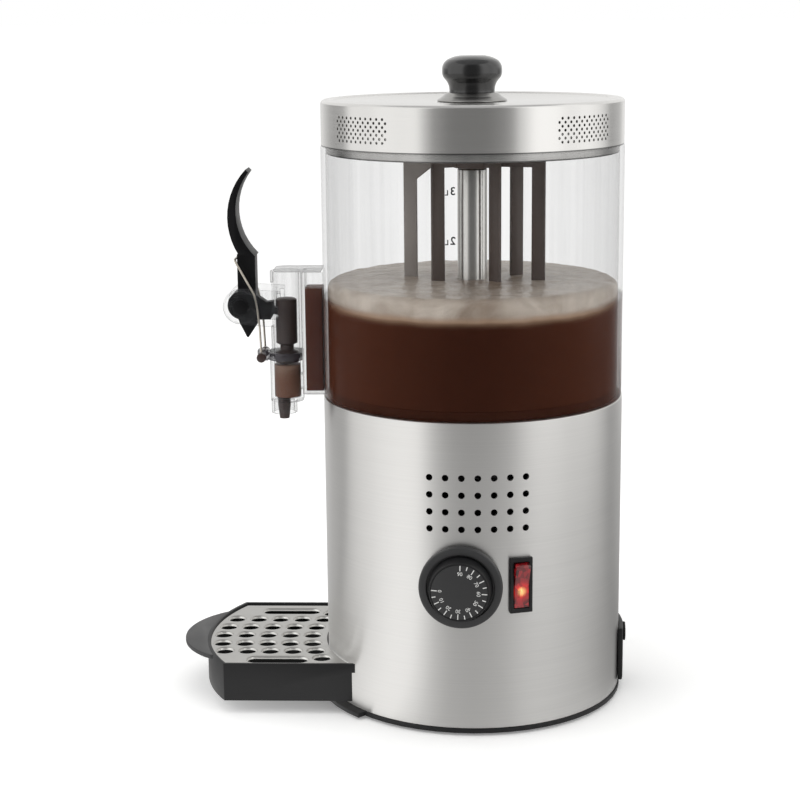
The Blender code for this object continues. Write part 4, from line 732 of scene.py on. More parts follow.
tankLow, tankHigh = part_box("tank")
sealLow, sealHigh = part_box("tank_seal")
tank = {
    "steps": 192,
    "radius": tankHigh.x,
    "wall": 0.0030,
    "rimEdge": 0.0010,
    "ductHalf": 0.0116,
    "ductSide": 0.0022,
    "ductFront": 0.0023,
    "ductFloor": 0.0020,
    "ductCorner": 0.0028,
    "ductTop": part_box("tap_body")[1].z,
    "ductFaceY": tankLow.y,
    "lowEdge": 0.0005,
    "innerEdge": 0.0010,
    "ductEdge": 0.0003,
    "ductOverlap": 0.0040,
    "ductGap": 0.0002,
}
tankInside = tank["radius"] - tank["wall"]


def makeTank():
    radius = tank["radius"]
    outline = rounded([(radius, tankLow.z, tank["lowEdge"]), (radius, tankHigh.z, tank["rimEdge"]),
                       (tankInside, tankHigh.z, tank["rimEdge"]),
                       (tankInside, tankLow.z, tank["lowEdge"])], 3)
    piece = smooth(newPiece("clear_tank", turned(outline, tank["steps"])), 40)
    dress(piece, "tank_unit", "tankStyrene", "clear_moulding", "tank")
    half, face = tank["ductHalf"], tank["ductFaceY"]
    rear = -math.sqrt(radius ** 2 - half ** 2) - tank["ductGap"]
    corner = tank["ductCorner"]
    outer = [(half, rear), (half, face, corner), (-half, face, corner), (-half, rear)]
    channel = newPiece("tank_duct", raised(rounded(outer, 5), tankLow.z, tank["ductTop"]))
    innerHalf, innerFace = half - tank["ductSide"], face + tank["ductFront"]
    innerRear, edge = rear + tank["ductOverlap"], tank["innerEdge"]
    inner = [(innerHalf, innerRear), (innerHalf, innerFace, edge), (-innerHalf, innerFace, edge),
             (-innerHalf, innerRear)]
    hollow = raised(rounded(inner, 3), tankLow.z + tank["ductFloor"], tank["ductTop"] + tank["ductOverlap"])
    combine(channel, hollow, "DIFFERENCE")
    roundEdges(channel, tank["ductEdge"], 2, 50)
    dress(channel, "tank_unit", "tapStyrene", "clear_moulding", "tank")


makeTank()
print("tank made")


# Drink in the tank, the duct and the tap

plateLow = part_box("heating_plate")[0]
columnLow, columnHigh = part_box("center_column")
drink = {
    "level": 0.2690,
    "clearance": 0.0002,
    "rings": 44,
    "steps": 180,
    "ripple": 0.0006,
    "pillow": 0.0050,
    "shoulder": 0.0060,
    "plateThickness": 0.0015,
    "columnRadius": 0.0096,
    "flangeRadius": 0.0160,
    "flangeTop": 0.0018,
    "sealLip": 0.0060,
    "shoulderSteps": 8,
    "calmBelow": 0.0010,
    "fineScale": 120,
    "finerScale": 320,
    "squashed": 0.02,
    "ductCorner": 0.0009,
    "ductEdge": 0.0004,
}
finishes["drink"] = hotChocolate("whipped_hot_chocolate", {
    "deep": "#3a1e15", "rim": "#583223", "frothDark": "#9a8979", "frothLight": "#f0e6da",
    "frothSide": "#b89b82", "feather": 0.0014, "gloss": 0.03, "topGloss": 0.45,
    "topLow": drink["level"] - 0.0095, "topHigh": drink["level"] - 0.0040,
    "frothLow": drink["level"] - 0.0148, "frothHigh": drink["level"] - 0.0084})
finishes["tapDrink"] = hotChocolate("hot_chocolate_in_tap", {
    "deep": "#76513f", "rim": "#76513f", "frothDark": "#8a6a58", "frothLight": "#a98d7c",
    "frothSide": "#8f7262", "feather": 0.004, "gloss": 0.2, "topGloss": 0.2,
    "topLow": 0.2130, "topHigh": 0.2180, "frothLow": 0.2040, "frothHigh": 0.2160})


def makeDrink():
    gap = drink["clearance"]
    wall = tankInside - gap
    plateTop = plateLow.z + drink["plateThickness"] + gap
    plateInside = -sealLow.x - drink["sealLip"]
    flangeTop = plateLow.z + drink["plateThickness"] + drink["flangeTop"] + gap
    column = drink["columnRadius"] + gap
    outline = [(drink["flangeRadius"] + gap, plateTop), (plateInside, plateTop),
               (plateInside, sealHigh.z + gap), (wall, sealHigh.z + gap), (wall, drink["level"])]
    rings, steps = drink["rings"], drink["shoulderSteps"]
    crown = drink["level"] + drink["pillow"]
    edge = wall - drink["shoulder"]
    for step in range(1, steps + 1):
        angle = math.pi / 2 * step / steps
        outline.append((wall - drink["shoulder"] * (1 - math.cos(angle)),
                        drink["level"] + drink["pillow"] * math.sin(angle)))
    for ring in range(1, rings):
        outline.append((edge + (column - edge) * ring / rings, crown))
    outline += [(column, crown), (column, flangeTop),
                (drink["flangeRadius"] + gap, flangeTop)]
    shape = turned(outline, drink["steps"])
    for corner in shape.verts:
        if corner.co.z > drink["level"] + drink["calmBelow"]:
            place = corner.co
            fine = noise.noise(place * drink["fineScale"]) + 0.5 * noise.noise(place * drink["finerScale"])
            corner.co.z += drink["ripple"] * fine
    piece = smooth(newPiece("drink_in_tank", shape), 60)
    dress(piece, "root", "drink", "clear_moulding")
    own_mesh(piece)


def makeDuctDrink():
    gap = drink["clearance"]
    half = tank["ductHalf"] - tank["ductSide"] - gap
    face = tank["ductFaceY"] + tank["ductFront"] + gap
    rear = -tank["radius"] - gap
    low = tankLow.z + tank["ductFloor"] + gap
    corners = ((half, rear), (half, face), (-half, face), (-half, rear))
    outline = rounded([(x, y, drink["ductCorner"]) for x, y in corners], 3)
    piece = newPiece("drink_in_duct", raised(outline, low, drink["level"]))
    roundEdges(piece, drink["ductEdge"], 2, 60)
    dress(piece, "tank_unit", "ductDrink", "clear_moulding")
    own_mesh(piece)


finishes["ductDrink"] = hotChocolate("hot_chocolate_in_duct", {
    "deep": "#55291a", "rim": "#55291a", "frothDark": "#6a4a3c", "frothLight": "#8a6b5c",
    "frothSide": "#75523f", "feather": 0.006, "gloss": 0.1, "topGloss": 0.1,
    "topLow": drink["level"] - 0.0050, "topHigh": drink["level"],
    "frothLow": drink["level"] - 0.0080, "frothHigh": drink["level"] + 0.0020})
makeDrink()
makeDuctDrink()
print("drink made")


# Column and agitator

column = {"radius": drink["columnRadius"], "bore": 0.0082, "seat": 0.0003, "flange": 0.0015,
          "flangeEdge": 0.0006, "topEdge": 0.0008}
stirring = {"edge": 0.0005, "paintedLightBlade": -0.0352}  # the outermost blade is painted paler: painted light


def makeColumn():
    radius, bore = column["radius"], column["bore"]
    low = plateLow.z + drink["plateThickness"] + column["seat"]
    high = low + column["flange"]
    outline = rounded([(bore, columnLow.z), (radius, columnLow.z), (radius, low), (columnHigh.x, low),
                       (columnHigh.x, high, column["flangeEdge"]), (radius, high),
                       (radius, columnHigh.z, column["topEdge"]), (bore, columnHigh.z)], 3)
    piece = smooth(newPiece("steel_column", turned(outline, 72)))
    dress(piece, "root", "columnSteel", "brushed_stainless", "center_column")


def makeStirrer():
    stirrer = refined("stirring_frame", "agitator", stirring["edge"], 2, 40)
    dress(stirrer, "agitator_drive", "brownAcetal", "brown_moulding", "agitator")
    # the outermost blade gets the lighter copy as painted light
    stirrer.data.materials.append(finishes["litBladeAcetal"])
    for face in stirrer.data.polygons:
        if face.center.y < stirring["paintedLightBlade"]:
            face.material_index = 1


makeColumn()
makeStirrer()
print("column and agitator made")


# Lid with its perforated patches, inner ring, boss and knob

lidLow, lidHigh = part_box("lid_shell")
ringLow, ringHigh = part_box("lid_inner_ring")
bossLow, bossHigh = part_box("lid_boss")
knobLow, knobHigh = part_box("lid_knob")
lid = {
    "steps": 192,
    "wall": 0.0010,
    "edge": 0.0026,
    "rimWidth": 0.0050,
    "dish": 0.0022,
    "holeRadius": 0.0009,
    "holeRows": 7,
    "holesInRow": 10,
    "holeRowPitch": 0.00235,
    "holeTurn": math.radians(2.62),
    "patchMiddle": math.radians(45.5),
    "patchHeight": 0.3738,
    "holeSteps": 12,
    "screwHole": 0.0028,
    "spigotInset": 0.0018,
    "spigotWall": 0.0012,
    "spigotEdge": 0.0004,
    "ringThickness": 0.0015,
    "flatBeyondBoss": 0.0025,
    "innerDrop": 0.0002,
    "innerFillet": 0.0015,
    "stepIn": 0.0015,
    "dishFillet": 0.0010,
    "underStep": 0.0019,
    "underDrop": 0.0004,
    "underFillet": 0.0014,
    "cutIn": 0.005,
    "cutOut": 0.003,
}


def makeLid():
    radius, wall = lidHigh.x, lid["wall"]
    inside = radius - lid["rimWidth"]
    dishTop = lidHigh.z - lid["dish"]
    flat = bossHigh.x + lid["flatBeyondBoss"]
    half, bore, fillet = lidHigh.z - lid["dish"] / 2, lid["screwHole"], lid["dishFillet"]
    outline = rounded([(radius, lidLow.z), (radius, lidHigh.z, lid["edge"]),
                       (inside, lidHigh.z - lid["innerDrop"], lid["innerFillet"]),
                       (inside - lid["stepIn"], half, fillet),
                       (flat, dishTop), (bore, dishTop), (bore, dishTop - wall), (flat, dishTop - wall),
                       (inside - lid["underStep"], half - wall, fillet),
                       (radius - wall, lidHigh.z - wall - lid["underDrop"], lid["underFillet"]),
                       (radius - wall, lidLow.z)], 5)
    piece = newPiece("steel_lid", turned(outline, lid["steps"]))
    tools = []
    for side in (-1, 1):
        for row in range(lid["holeRows"]):
            count = lid["holesInRow"] + row % 2
            for place in range(count):
                turn = side * lid["patchMiddle"] + lid["holeTurn"] * (place - (count - 1) / 2)
                height = lid["patchHeight"] + lid["holeRowPitch"] * (row - (lid["holeRows"] - 1) / 2)
                hole = post(lid["holeRadius"], radius - lid["cutIn"], radius + lid["cutOut"],
                            lid["holeSteps"])
                tools.append(moved(hole, radialFrame(turn, height)))
    combine(piece, gathered(tools), "DIFFERENCE")
    trueRound(piece, radius)
    dress(piece, "lid_unit", "lidSteel", "brushed_stainless", "lid_shell")


def makeLidRing():
    rim, edge = ringHigh.x, lid["spigotEdge"]
    spigot = rim - lid["spigotInset"]
    bore, flangeTop = spigot - lid["spigotWall"], lidLow.z + lid["ringThickness"]
    outline = rounded([(bore, ringLow.z), (spigot, ringLow.z, edge), (spigot, lidLow.z), (rim, lidLow.z),
                       (rim, flangeTop), (spigot, flangeTop), (spigot, ringHigh.z, edge),
                       (bore, ringHigh.z)], 3)
    piece = smooth(newPiece("lid_spigot", turned(outline, lid["steps"])))
    dress(piece, "lid_unit", "ringSteel", "brushed_stainless", "lid_inner_ring")


handle = {
    "bossLine": [(bossHigh.x, bossLow.z, 0.0004), (0.0188, bossLow.z + 0.0030, 0.0040),
                 (0.0163, bossHigh.z, 0.0010)],
    # shares of the knob's radius and height, and the fillet there
    "knobLine": [(0.78, 0, 0.0006), (0.75, 0.20, 0.0100), (1.03, 0.44, 0.0060), (1.02, 0.80, 0.0070)],
    "crown": (0.62, 0.0003, 0.0200),
    "socket": 0.0080,
}


def makeKnob():
    bore = lid["screwHole"]
    boss = rounded([(bore, bossLow.z), *handle["bossLine"], (bore, bossHigh.z)], 6)
    dress(smooth(newPiece("steel_boss", turned(boss, 96))), "lid_unit", "bossSteel", "brushed_stainless",
          "lid_boss")
    low, height, radius = knobLow.z, knobHigh.z - knobLow.z, knobHigh.x
    side = [(radius * wide, low + height * high, fillet) for wide, high, fillet in handle["knobLine"]]
    wide, drop, fillet = handle["crown"]
    socket = low + handle["socket"]
    knob = rounded([(bore, low), *side, (radius * wide, knobHigh.z - drop, fillet), (0, knobHigh.z),
                    (0, socket), (bore, socket)], 8)
    dress(smooth(newPiece("lid_handle", turned(knob, 96)), 50), "lid_unit", "glossPhenolic",
          "black_moulding", "lid_knob")


makeLid()
makeLidRing()
makeKnob()
print("lid made")


# Tap: body, cap, collar, pin, spring, lever and plunger

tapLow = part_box("tap_body")[0]
pinLow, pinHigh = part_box("pivot_pin")
plungerLow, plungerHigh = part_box("plunger")
plungerAxis = (plungerLow.y + plungerHigh.y) / 2
leverAxis = ((pinLow.y + pinHigh.y) / 2, (pinLow.z + pinHigh.z) / 2)


# Name, node, edge, steps, angle, body, finish and slot of each part that keeps its CAD shape
tapParts = [
    ("tap_housing", "tap_body", 0.0004, 2, 40, "tank_unit", "tapStyrene", "clear_moulding"),
    ("tap_cover", "tap_cap", 0.0005, 2, 35, "tank_unit", "tapStyrene", "clear_moulding"),
    ("tap_clamp", "tap_collar", 0.0004, 2, 40, "tank_unit", "smokedStyrene", "clear_moulding"),
    ("lever_pin", "pivot_pin", 0.0003, 2, 35, "tank_unit", "blackNylon", "zinc_plated_steel"),
    ("lever_handle", "tap_lever", 0.0006, 3, 30, "lever", "blackNylon", "black_moulding"),
    ("spring_spindle", "spring_bar", 0.0006, 2, 35, "spring", "darkAcetal", "black_moulding"),
    ("tap_piston", "plunger", 0.0003, 2, 40, "valve", "darkAcetal", "dark_moulding"),
]
springEdge = 0.00005
earRim = {"inner": 0.0101, "outer": 0.0115, "low": 0.0150, "high": 0.0157, "edge": 0.0004, "steps": 64}
tapFilling = {"radius": 0.0086, "stem": 0.0045, "piston": 0.0030, "floor": 0.0110, "stemTop": 0.0060,
              "belowSeal": 0.0035, "edge": 0.0006}


def makeTap():
    for name, node, edge, steps, angle, body, finish, slot in tapParts:
        dress(refined(name, node, edge, steps, angle), body, finish, slot, node)
    inner, outer, low, high = (earRim[key] for key in ("inner", "outer", "low", "high"))
    line = rounded([(inner, low), (outer, low), (outer, high, earRim["edge"]),
                    (inner, high, earRim["edge"])], 3)
    place = Matrix.Translation((0, *leverAxis))
    rims = [moved(turned(line, earRim["steps"]), place @ Matrix.Rotation(side * math.pi / 2, 4, "Y"))
            for side in (-1, 1)]
    dress(smooth(newPiece("tap_ear_rims", gathered(rims))), "tank_unit", "tapStyrene", "clear_moulding",
          "tap_body")
    spring = smooth(refined("spring_loop", "tap_spring", springEdge), 60)
    dress(spring, "spring", "springWire", "zinc_plated_steel", "tap_spring")


def makeTapDrink():
    low, high = tapLow.z + tapFilling["floor"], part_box("plunger_seal")[0].z - tapFilling["belowSeal"]
    radius, stem, edge = tapFilling["radius"], tapFilling["stem"], tapFilling["edge"]
    piston, stemTop = tapFilling["piston"], low + tapFilling["stemTop"]
    outline = rounded([(stem, low), (radius, low, edge), (radius, high, edge), (piston, high),
                       (piston, stemTop), (stem, stemTop)], 3)
    piece = smooth(newPiece("drink_in_tap", turned(outline, 48)))
    piece.data.transform(Matrix.Translation((0, plungerAxis, 0)))
    dress(piece, "tank_unit", "tapDrink", "clear_moulding")


makeTap()
makeTapDrink()
print("tap made")


# Dial with its scale

dial = {
    "turn": drum["dialTurn"],
    "height": drum["dialHeight"],
    "back": 0.0983,
    "skirtRadius": 0.0260,
    "skirtHeight": 0.0050,
    "gripRadius": 0.0200,
    "gripTop": 0.0186,
    "thickness": 0.0135,
    "bore": 0.0033,
    "tickReach": 0.0172,
    "longTick": 0.0034,
    "shortTick": 0.0024,
    "tickWidth": 0.0006,
    "numeralReach": 0.0118,
    "numeralSize": 0.0033,
    "firstTick": 2.0,
    "tickStep": 30.2,
    "printThickness": 0.00006,
    "grooveDepth": 0.0026,
    "grooveWidth": 0.0011,
    "rimWidth": 0.0010,
    "backEdge": 0.0004,
    "skirtEdge": 0.0011,
    "grooveEdge": 0.0005,
    "gripEdge": 0.0005,
    "rimEdge": 0.0002,
    "overlap": 0.0002,
    "faceDrop": 0.0005,
    "faceLow": 0.0004,
    "faceHigh": 0.0001,
    "socket": 0.0090,
}


def makeDial():
    place = radialFrame(dial["turn"], dial["height"])
    back, front = dial["back"], dial["back"] + dial["thickness"]
    skirt = back + dial["skirtHeight"]
    floor = skirt - dial["grooveDepth"]
    groove = dial["gripRadius"] + dial["grooveWidth"]
    bore, radius = dial["bore"], dial["skirtRadius"]
    skirtLine = rounded([(bore, back), (radius, back, dial["backEdge"]), (radius, skirt, dial["skirtEdge"]),
                         (groove, skirt, dial["grooveEdge"]), (groove, floor), (bore, floor)], 5)
    rim, edge, under = dial["gripTop"] - dial["rimWidth"], dial["rimEdge"], floor + dial["overlap"]
    sunk, socket = front - dial["faceDrop"], back + dial["socket"]
    gripLine = rounded([(bore, under), (dial["gripRadius"], under),
                        (dial["gripTop"], front, dial["gripEdge"]), (rim, front, edge), (rim, sunk),
                        (0, sunk), (0, socket), (bore, socket)], 4)
    reach, low, high = rim - dial["overlap"], front - dial["faceLow"], front - dial["faceHigh"]
    faceLine = rounded([(0, low), (reach, low), (reach, high, edge), (0, high)], 3)
    # one black moulding in lit and shaded tones: skirt and face lighter, painted light, and the grip darker,
    # painted shade
    for name, line, finish in (("dial_skirt", skirtLine, "dialAbs"), ("dial_grip", gripLine, "blackAbs"),
                               ("dial_face", faceLine, "faceAbs")):
        piece = smooth(newPiece(name, turned(line, 120)))
        piece.data.transform(place)
        dress(piece, "dial", finish, "black_moulding", "dial_knob")
    marks = []
    for number in range(10):
        bearing = math.radians(90 - dial["firstTick"] - dial["tickStep"] * number)
        marks.append(tickMark(bearing, dial["longTick"], front))
        if number < 9:
            between = bearing - math.radians(dial["tickStep"] / 2)
            marks.append(tickMark(between, dial["shortTick"], front))
        text = str(90 - 10 * number)
        marks.append(printed(text, dial["numeralSize"], bearing, front))
    scale = newPiece("dial_scale", gathered(marks))
    scale.data.transform(place)
    dress(scale, "dial", finishes["whiteInk"], "pale_moulding")


def tickMark(bearing, length, front):
    half = dial["tickWidth"] / 2
    shape = block((dial["tickReach"] - length, -half, front - dial["printThickness"]),
                  (dial["tickReach"], half, front + dial["printThickness"]))
    return moved(shape, Matrix.Rotation(bearing, 4, "Z"))


# Figures as thin raised print, centred on their place
def letters(text, size, thickness, stroke=0):
    curve = bpy.data.curves.new("letters", "FONT")
    curve.offset = stroke
    curve.body = text
    curve.size = size
    curve.extrude = thickness
    curve.align_x = "CENTER"
    curve.align_y = "CENTER"
    writer = bpy.data.objects.new("letters", curve)
    bpy.context.scene.collection.objects.link(writer)
    bpy.context.view_layer.update()
    mesh = bpy.data.meshes.new_from_object(writer.evaluated_get(bpy.context.evaluated_depsgraph_get()))
    bpy.data.objects.remove(writer)
    bpy.data.curves.remove(curve)
    shape = bmesh.new()
    shape.from_mesh(mesh)
    bpy.data.meshes.remove(mesh)
    return shape


def printed(text, size, bearing, front):
    shape = letters(text, size, dial["printThickness"])
    place = Matrix.Translation((*polar(dial["numeralReach"], bearing), front))
    return moved(shape, place @ Matrix.Rotation(bearing - math.pi / 2, 4, "Z"))


makeDial()
print("dial made")


# Litre marks printed on the back of the tank, seen through it

litres = {
    "turn": math.radians(188.0),
    "threeHeight": 0.3207,
    "litreStep": 0.0347,
    "size": 0.0078,
    "unitSize": 0.0050,
    "unitShift": 0.0043,
    "unitDrop": 0.0010,
    "thickness": 0.00005,
    "stroke": 0.00014,
}


def makeLitreMarks():
    thickness, stroke = litres["thickness"], litres["stroke"]
    beside = Matrix.Translation((litres["unitShift"], -litres["unitDrop"], 0))
    shapes = []
    for figure, drop in (("3", 0), ("2", 1)):
        height = litres["threeHeight"] - litres["litreStep"] * drop
        place = radialFrame(litres["turn"], height, tank["radius"] + thickness)
        shapes.append(moved(letters(figure, litres["size"], thickness, stroke), place))
        shapes.append(moved(letters("L", litres["unitSize"], thickness, stroke), place @ beside))
    dress(newPiece("litre_marks", gathered(shapes)), "tank_unit", finishes["greyInk"], "dark_moulding")


makeLitreMarks()


# Rocker switch

switch = {
    "turn": drum["switchTurn"],
    "height": drum["switchHeight"],
    "edge": 0.0006,
    "rockerEdge": 0.0005,
    "lampReach": 0.1000,
    "lampHeight": 0.0925,
}


def makeSwitch():
    dress(refined("switch_bezel", "switch_housing", switch["edge"]), "root", "blackAbs", "black_moulding",
          "switch_housing")
    lamp = radialFrame(switch["turn"], switch["lampHeight"], switch["lampReach"]).translation
    glow = litPolycarbonate("moulded_polycarbonate_lit_red", {
        "colour": "#a81c24", "deep": "#3c0305", "edge": "#cc1405", "core": "#ffc878",
        "prismScale": (300.0, 420.0, 240.0), "lampPlace": tuple(lamp), "reach": 0.0080,
        "spot": 0.0040, "power": 1.6})
    dress(refined("lit_rocker", "switch_rocker", switch["rockerEdge"], 3, 12), "rocker", glow, "red_lens",
          "switch_rocker")


makeSwitch()
print("switch made")


# Drip tray and its pressed grille

trayLow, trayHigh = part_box("drip_tray")
grilleLow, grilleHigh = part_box("tray_grille")
grille = {
    "thickness": 0.0006,
    "flareWidth": 0.0015,
    "flareDepth": 0.0018,
    "flareSteps": 5,
    "holeRadius": 0.0056,
    "holeSteps": 28,
    "columns": [-0.0325, -0.0160, 0.0003, 0.0170, 0.0320],
    "rows": 5,
    "rowPitch": 0.0151,
    "firstRow": 0.0101,
    "rowRadius": 0.1100,
    "extra": (0.0454, 0.0803),
    "slotHalf": 0.0054,
    "slotX": 0.0490,
    "slotFromFront": 0.0310,
    "slotLength": 0.0410,
    "trayFront": 0.1790,
    "halfWidth": grilleHigh.x,
    "frontRadius": 0.1177,
    "rearRadius": 0.0986,
    "frontInset": 0.0023,
    "slotInset": 0.0007,
    "outlineSteps": 40,
}


# The edge of a round hole, or of a slot along Y whose ends lie half its length from the middle
def holeLoop(middle, half, radius):
    steps = grille["holeSteps"] // 2
    front = arc((middle[0], middle[1] - half), radius, -math.pi, 0, steps)
    rear = arc((middle[0], middle[1] + half), radius, 0, math.pi, steps)
    return front + rear if half else front + rear[1:-1]


frontCentre = Vector((0, grille["frontRadius"] - (grille["trayFront"] - grille["frontInset"])))


def grilleOutline():
    half, front, rear = grille["halfWidth"], grille["frontRadius"], grille["rearRadius"]
    down, steps = -math.pi / 2, grille["outlineSteps"]
    spread, rearSpread = math.asin(half / front), math.asin(half / rear)
    outline = arc(frontCentre, front, down - spread, down + spread, steps)
    return outline + arc((0, 0), rear, down + rearSpread, down - rearSpread, steps)


def onSheet(place, holes):  # inside the plate's outline and in none of its holes
    if place.length < grille["rearRadius"] or (place - frontCentre).length > grille["frontRadius"]:
        return False
    for middle, half, radius in holes:
        along = min(half, max(-half, place.y - middle[1]))
        if (place - Vector((middle[0], middle[1] + along))).length < radius + grille["flareWidth"]:
            return False
    return True


def makeGrille():
    holes = []
    radius, flare = grille["holeRadius"], grille["flareWidth"]
    for column in grille["columns"]:
        sag = grille["rowRadius"] - math.sqrt(grille["rowRadius"] ** 2 - column ** 2)
        for row in range(grille["rows"]):
            y = grille["firstRow"] + grille["rowPitch"] * row + sag - grille["trayFront"]
            holes.append(((column, y), 0, radius))
    for side in (-1, 1):
        holes.append(((side * grille["extra"][0], grille["extra"][1] - grille["trayFront"]), 0, radius))
        half = grille["slotLength"] / 2 - grille["slotHalf"] - grille["slotInset"]
        y = grille["slotFromFront"] + grille["slotLength"] / 2 - grille["trayFront"]
        holes.append(((side * grille["slotX"], y), half, grille["slotHalf"]))
    loops = [grilleOutline()] + [holeLoop(middle, half, r + flare) for middle, half, r in holes]
    points, edges = [], []
    for loop in loops:
        start = len(points)
        points += [Vector(point) for point in loop]
        edges += [(start + i, start + (i + 1) % len(loop)) for i in range(len(loop))]
    flatPoints, _, faces, *_ = geometry.delaunay_2d_cdt(points, edges, [], 0, tiny)
    shape = bmesh.new()
    top = grilleHigh.z
    corners = [shape.verts.new((point.x, point.y, top)) for point in flatPoints]
    for face in faces:
        middle = sum((flatPoints[i] for i in face), Vector((0, 0))) / len(face)
        if onSheet(middle, holes):
            shape.faces.new([corners[i] for i in face])
    finder = kdtree.KDTree(len(corners))
    for number, corner in enumerate(corners):
        finder.insert(corner.co, number)
    finder.balance()
    for (middle, half, r), loop in zip(holes, loops[1:]):
        last = [corners[finder.find((x, y, top))[1]] for x, y in loop]
        for step in range(1, grille["flareSteps"] + 1):
            angle = math.pi / 2 * step / grille["flareSteps"]
            inward = flare * math.sin(angle)
            drop = grille["flareDepth"] * (1 - math.cos(angle))
            ring = holeLoop(middle, half, r + flare - inward)
            row = [shape.verts.new((x, y, top - drop)) for x, y in ring]
            for i, j in zip(range(len(row)), [*range(1, len(row)), 0]):
                shape.faces.new((last[i], last[j], row[j], row[i]))
            last = row
    bmesh.ops.remove_doubles(shape, verts=shape.verts, dist=tiny)
    bmesh.ops.recalc_face_normals(shape, faces=shape.faces)
    if sum(face.normal.z * face.calc_area() for face in shape.faces) < 0:
        bmesh.ops.reverse_faces(shape, faces=shape.faces)
    piece = newPiece("steel_grille", shape)
    solid = piece.modifiers.new("sheet", "SOLIDIFY")
    solid.thickness = grille["thickness"]
    solid.offset = -1
    settle(piece)
    smooth(piece, 40)
    dress(piece, "grille", "grilleSteel", "brushed_stainless", "tray_grille")


tray = {
    "front": 0.1790,
    "frontRadius": 0.1200,
    "rearRadius": 0.0986,
    "wall": 0.0035,
    "rimWall": 0.0020,
    "floor": 0.0020,
    "lipHeight": 0.0060,
    "setback": 0.0016,
    "edge": 0.0006,
    "handleRadius": 0.0555,
    "handleReach": 0.0156,
    "handleHalf": 0.0445,
    "handleDrop": 0.0008,
    "handleThickness": 0.0030,
    "tongueSpread": 0.0300,
    "tongue": (0.0120, 0.0030, 0.0032),
    "tongueEnd": -0.0874,
    "tongueEdge": 0.0004,
    "seatGap": 0.0003,
    "overlap": 0.002,
    "outlineSteps": 48,
}


def trayOutline(inset, rear):
    half, radius = trayHigh.x - inset, tray["frontRadius"] - inset
    spread, rearSpread = math.asin(half / radius), math.asin(half / rear)
    down, steps = -math.pi / 2, tray["outlineSteps"]
    front = arc((0, tray["frontRadius"] - tray["front"]), radius, down - spread, down + spread, steps)
    return front + arc((0, 0), rear, down + rearSpread, down - rearSpread, steps)


def makeTrayMoulding():
    low, top, rear, over = trayLow.z, trayHigh.z, tray["rearRadius"], tray["overlap"]
    lower = rear + tray["setback"]
    seat = grilleLow.z - tray["seatGap"]
    piece = newPiece("drip_tray_moulding", raised(trayOutline(0, rear), low, top))
    tools = [post(lower, low - over, top - tray["lipHeight"], 192),
             raised(trayOutline(tray["wall"], lower + tray["wall"]), low + tray["floor"], seat),
             raised(trayOutline(tray["rimWall"], rear - over), seat, top + over)]
    for tool in tools:
        combine(piece, tool, "DIFFERENCE")
    roundEdges(piece, tray["edge"], 3, 40)
    width, thickness, rise = tray["tongue"]
    spread, end, base = tray["tongueSpread"], tray["tongueEnd"], low + rise
    start = -math.sqrt(lower ** 2 - spread ** 2) - tray["wall"] + over / 2
    tongues = [block((middle - width / 2, start, base), (middle + width / 2, end, base + thickness))
               for middle in (-spread, spread)]
    centre = tray["handleRadius"] - tray["handleReach"] - tray["front"]
    down, steps = -math.pi / 2, tray["outlineSteps"]
    spread = math.asin(tray["handleHalf"] / tray["handleRadius"])
    outer = arc((0, centre), tray["handleRadius"], down - spread, down + spread, steps)
    sunk = tray["frontRadius"] - tray["rimWall"] * 0.6  # the lip's root lies in the tray's rim
    spread = math.asin(outer[-1][0] / sunk)
    inner = arc((0, tray["frontRadius"] - tray["front"]), sunk, down + spread, down - spread, steps)
    handleTop = top - tray["handleDrop"]
    handle = newPiece("tray_handle", raised(outer + inner, handleTop - tray["handleThickness"], handleTop))
    roundEdges(handle, tray["edge"], 3, 50)
    hooks = roundEdges(newPiece("tray_tongues", gathered(tongues)), tray["tongueEdge"], 2, 50)
    for part, finish in ((piece, "blackAbs"), (handle, "satinLitAbs"), (hooks, "blackAbs")):
        dress(part, "tray", finish, "black_moulding", "drip_tray")
        part.visible_glossy = False  # the drum shows no reflection of the tray
    piece.data.materials.append(finishes["trayShadeAbs"])  # the inside of the tray: rougher, and darker as painted shade
    inside = Vector((0, -(tray["front"] + rear) / 2, seat))
    for face in piece.data.polygons:
        if face.center.z < seat and (inside - face.center).dot(face.normal) > 0:
            face.material_index = 1


makeTrayMoulding()
makeGrille()
print("tray made")


# Studio: floor, a wrap of toned paper that only reflections see, lamps, world and camera

studio = {
    "lens": 82.45,
    "sensor": 36.0,
    "cameraPlace": (1.180, 0.0, 0.4448),
    "yaw": math.radians(2.319),
    "pitch": math.radians(12.029),
    "roll": math.radians(-0.571),
    "floorTone": "#f6f6f5",
    "floorReach": 60.0,
    "liftReach": 10.0,
    "ceilingFrom": 0.55,
    "ceilingFull": 0.90,
    # the floor's glow for the camera by distance from the drum's axis: lowest round the drum's base, a
    # painted shadow there, and higher outward to even out the lamps' fall-off
    "liftsAndBaseShade": [(0.0, 0.14), (0.0100, 0.17), (0.0130, 0.33), (0.035, 0.37), (0.1, 0.38), (0.2, 0.46),
              (0.3, 0.52), (1.0, 0.58)],
    "ambient": 0.55,
    "wrapColumns": 240,
    "wrapRows": 10,
    # where the paper's tone changes: bearings in degrees, reaches and heights in metres
    "sideShade": 0.28,
    "sideBearings": (40, 90),
    "sideReach": (-0.40, -0.12),
    "farReach": (0.82, 1.10),
    "backTone": 0.94,
    "backBearings": (95, 115),
    "backHeights": (0.35, 0.60),
}
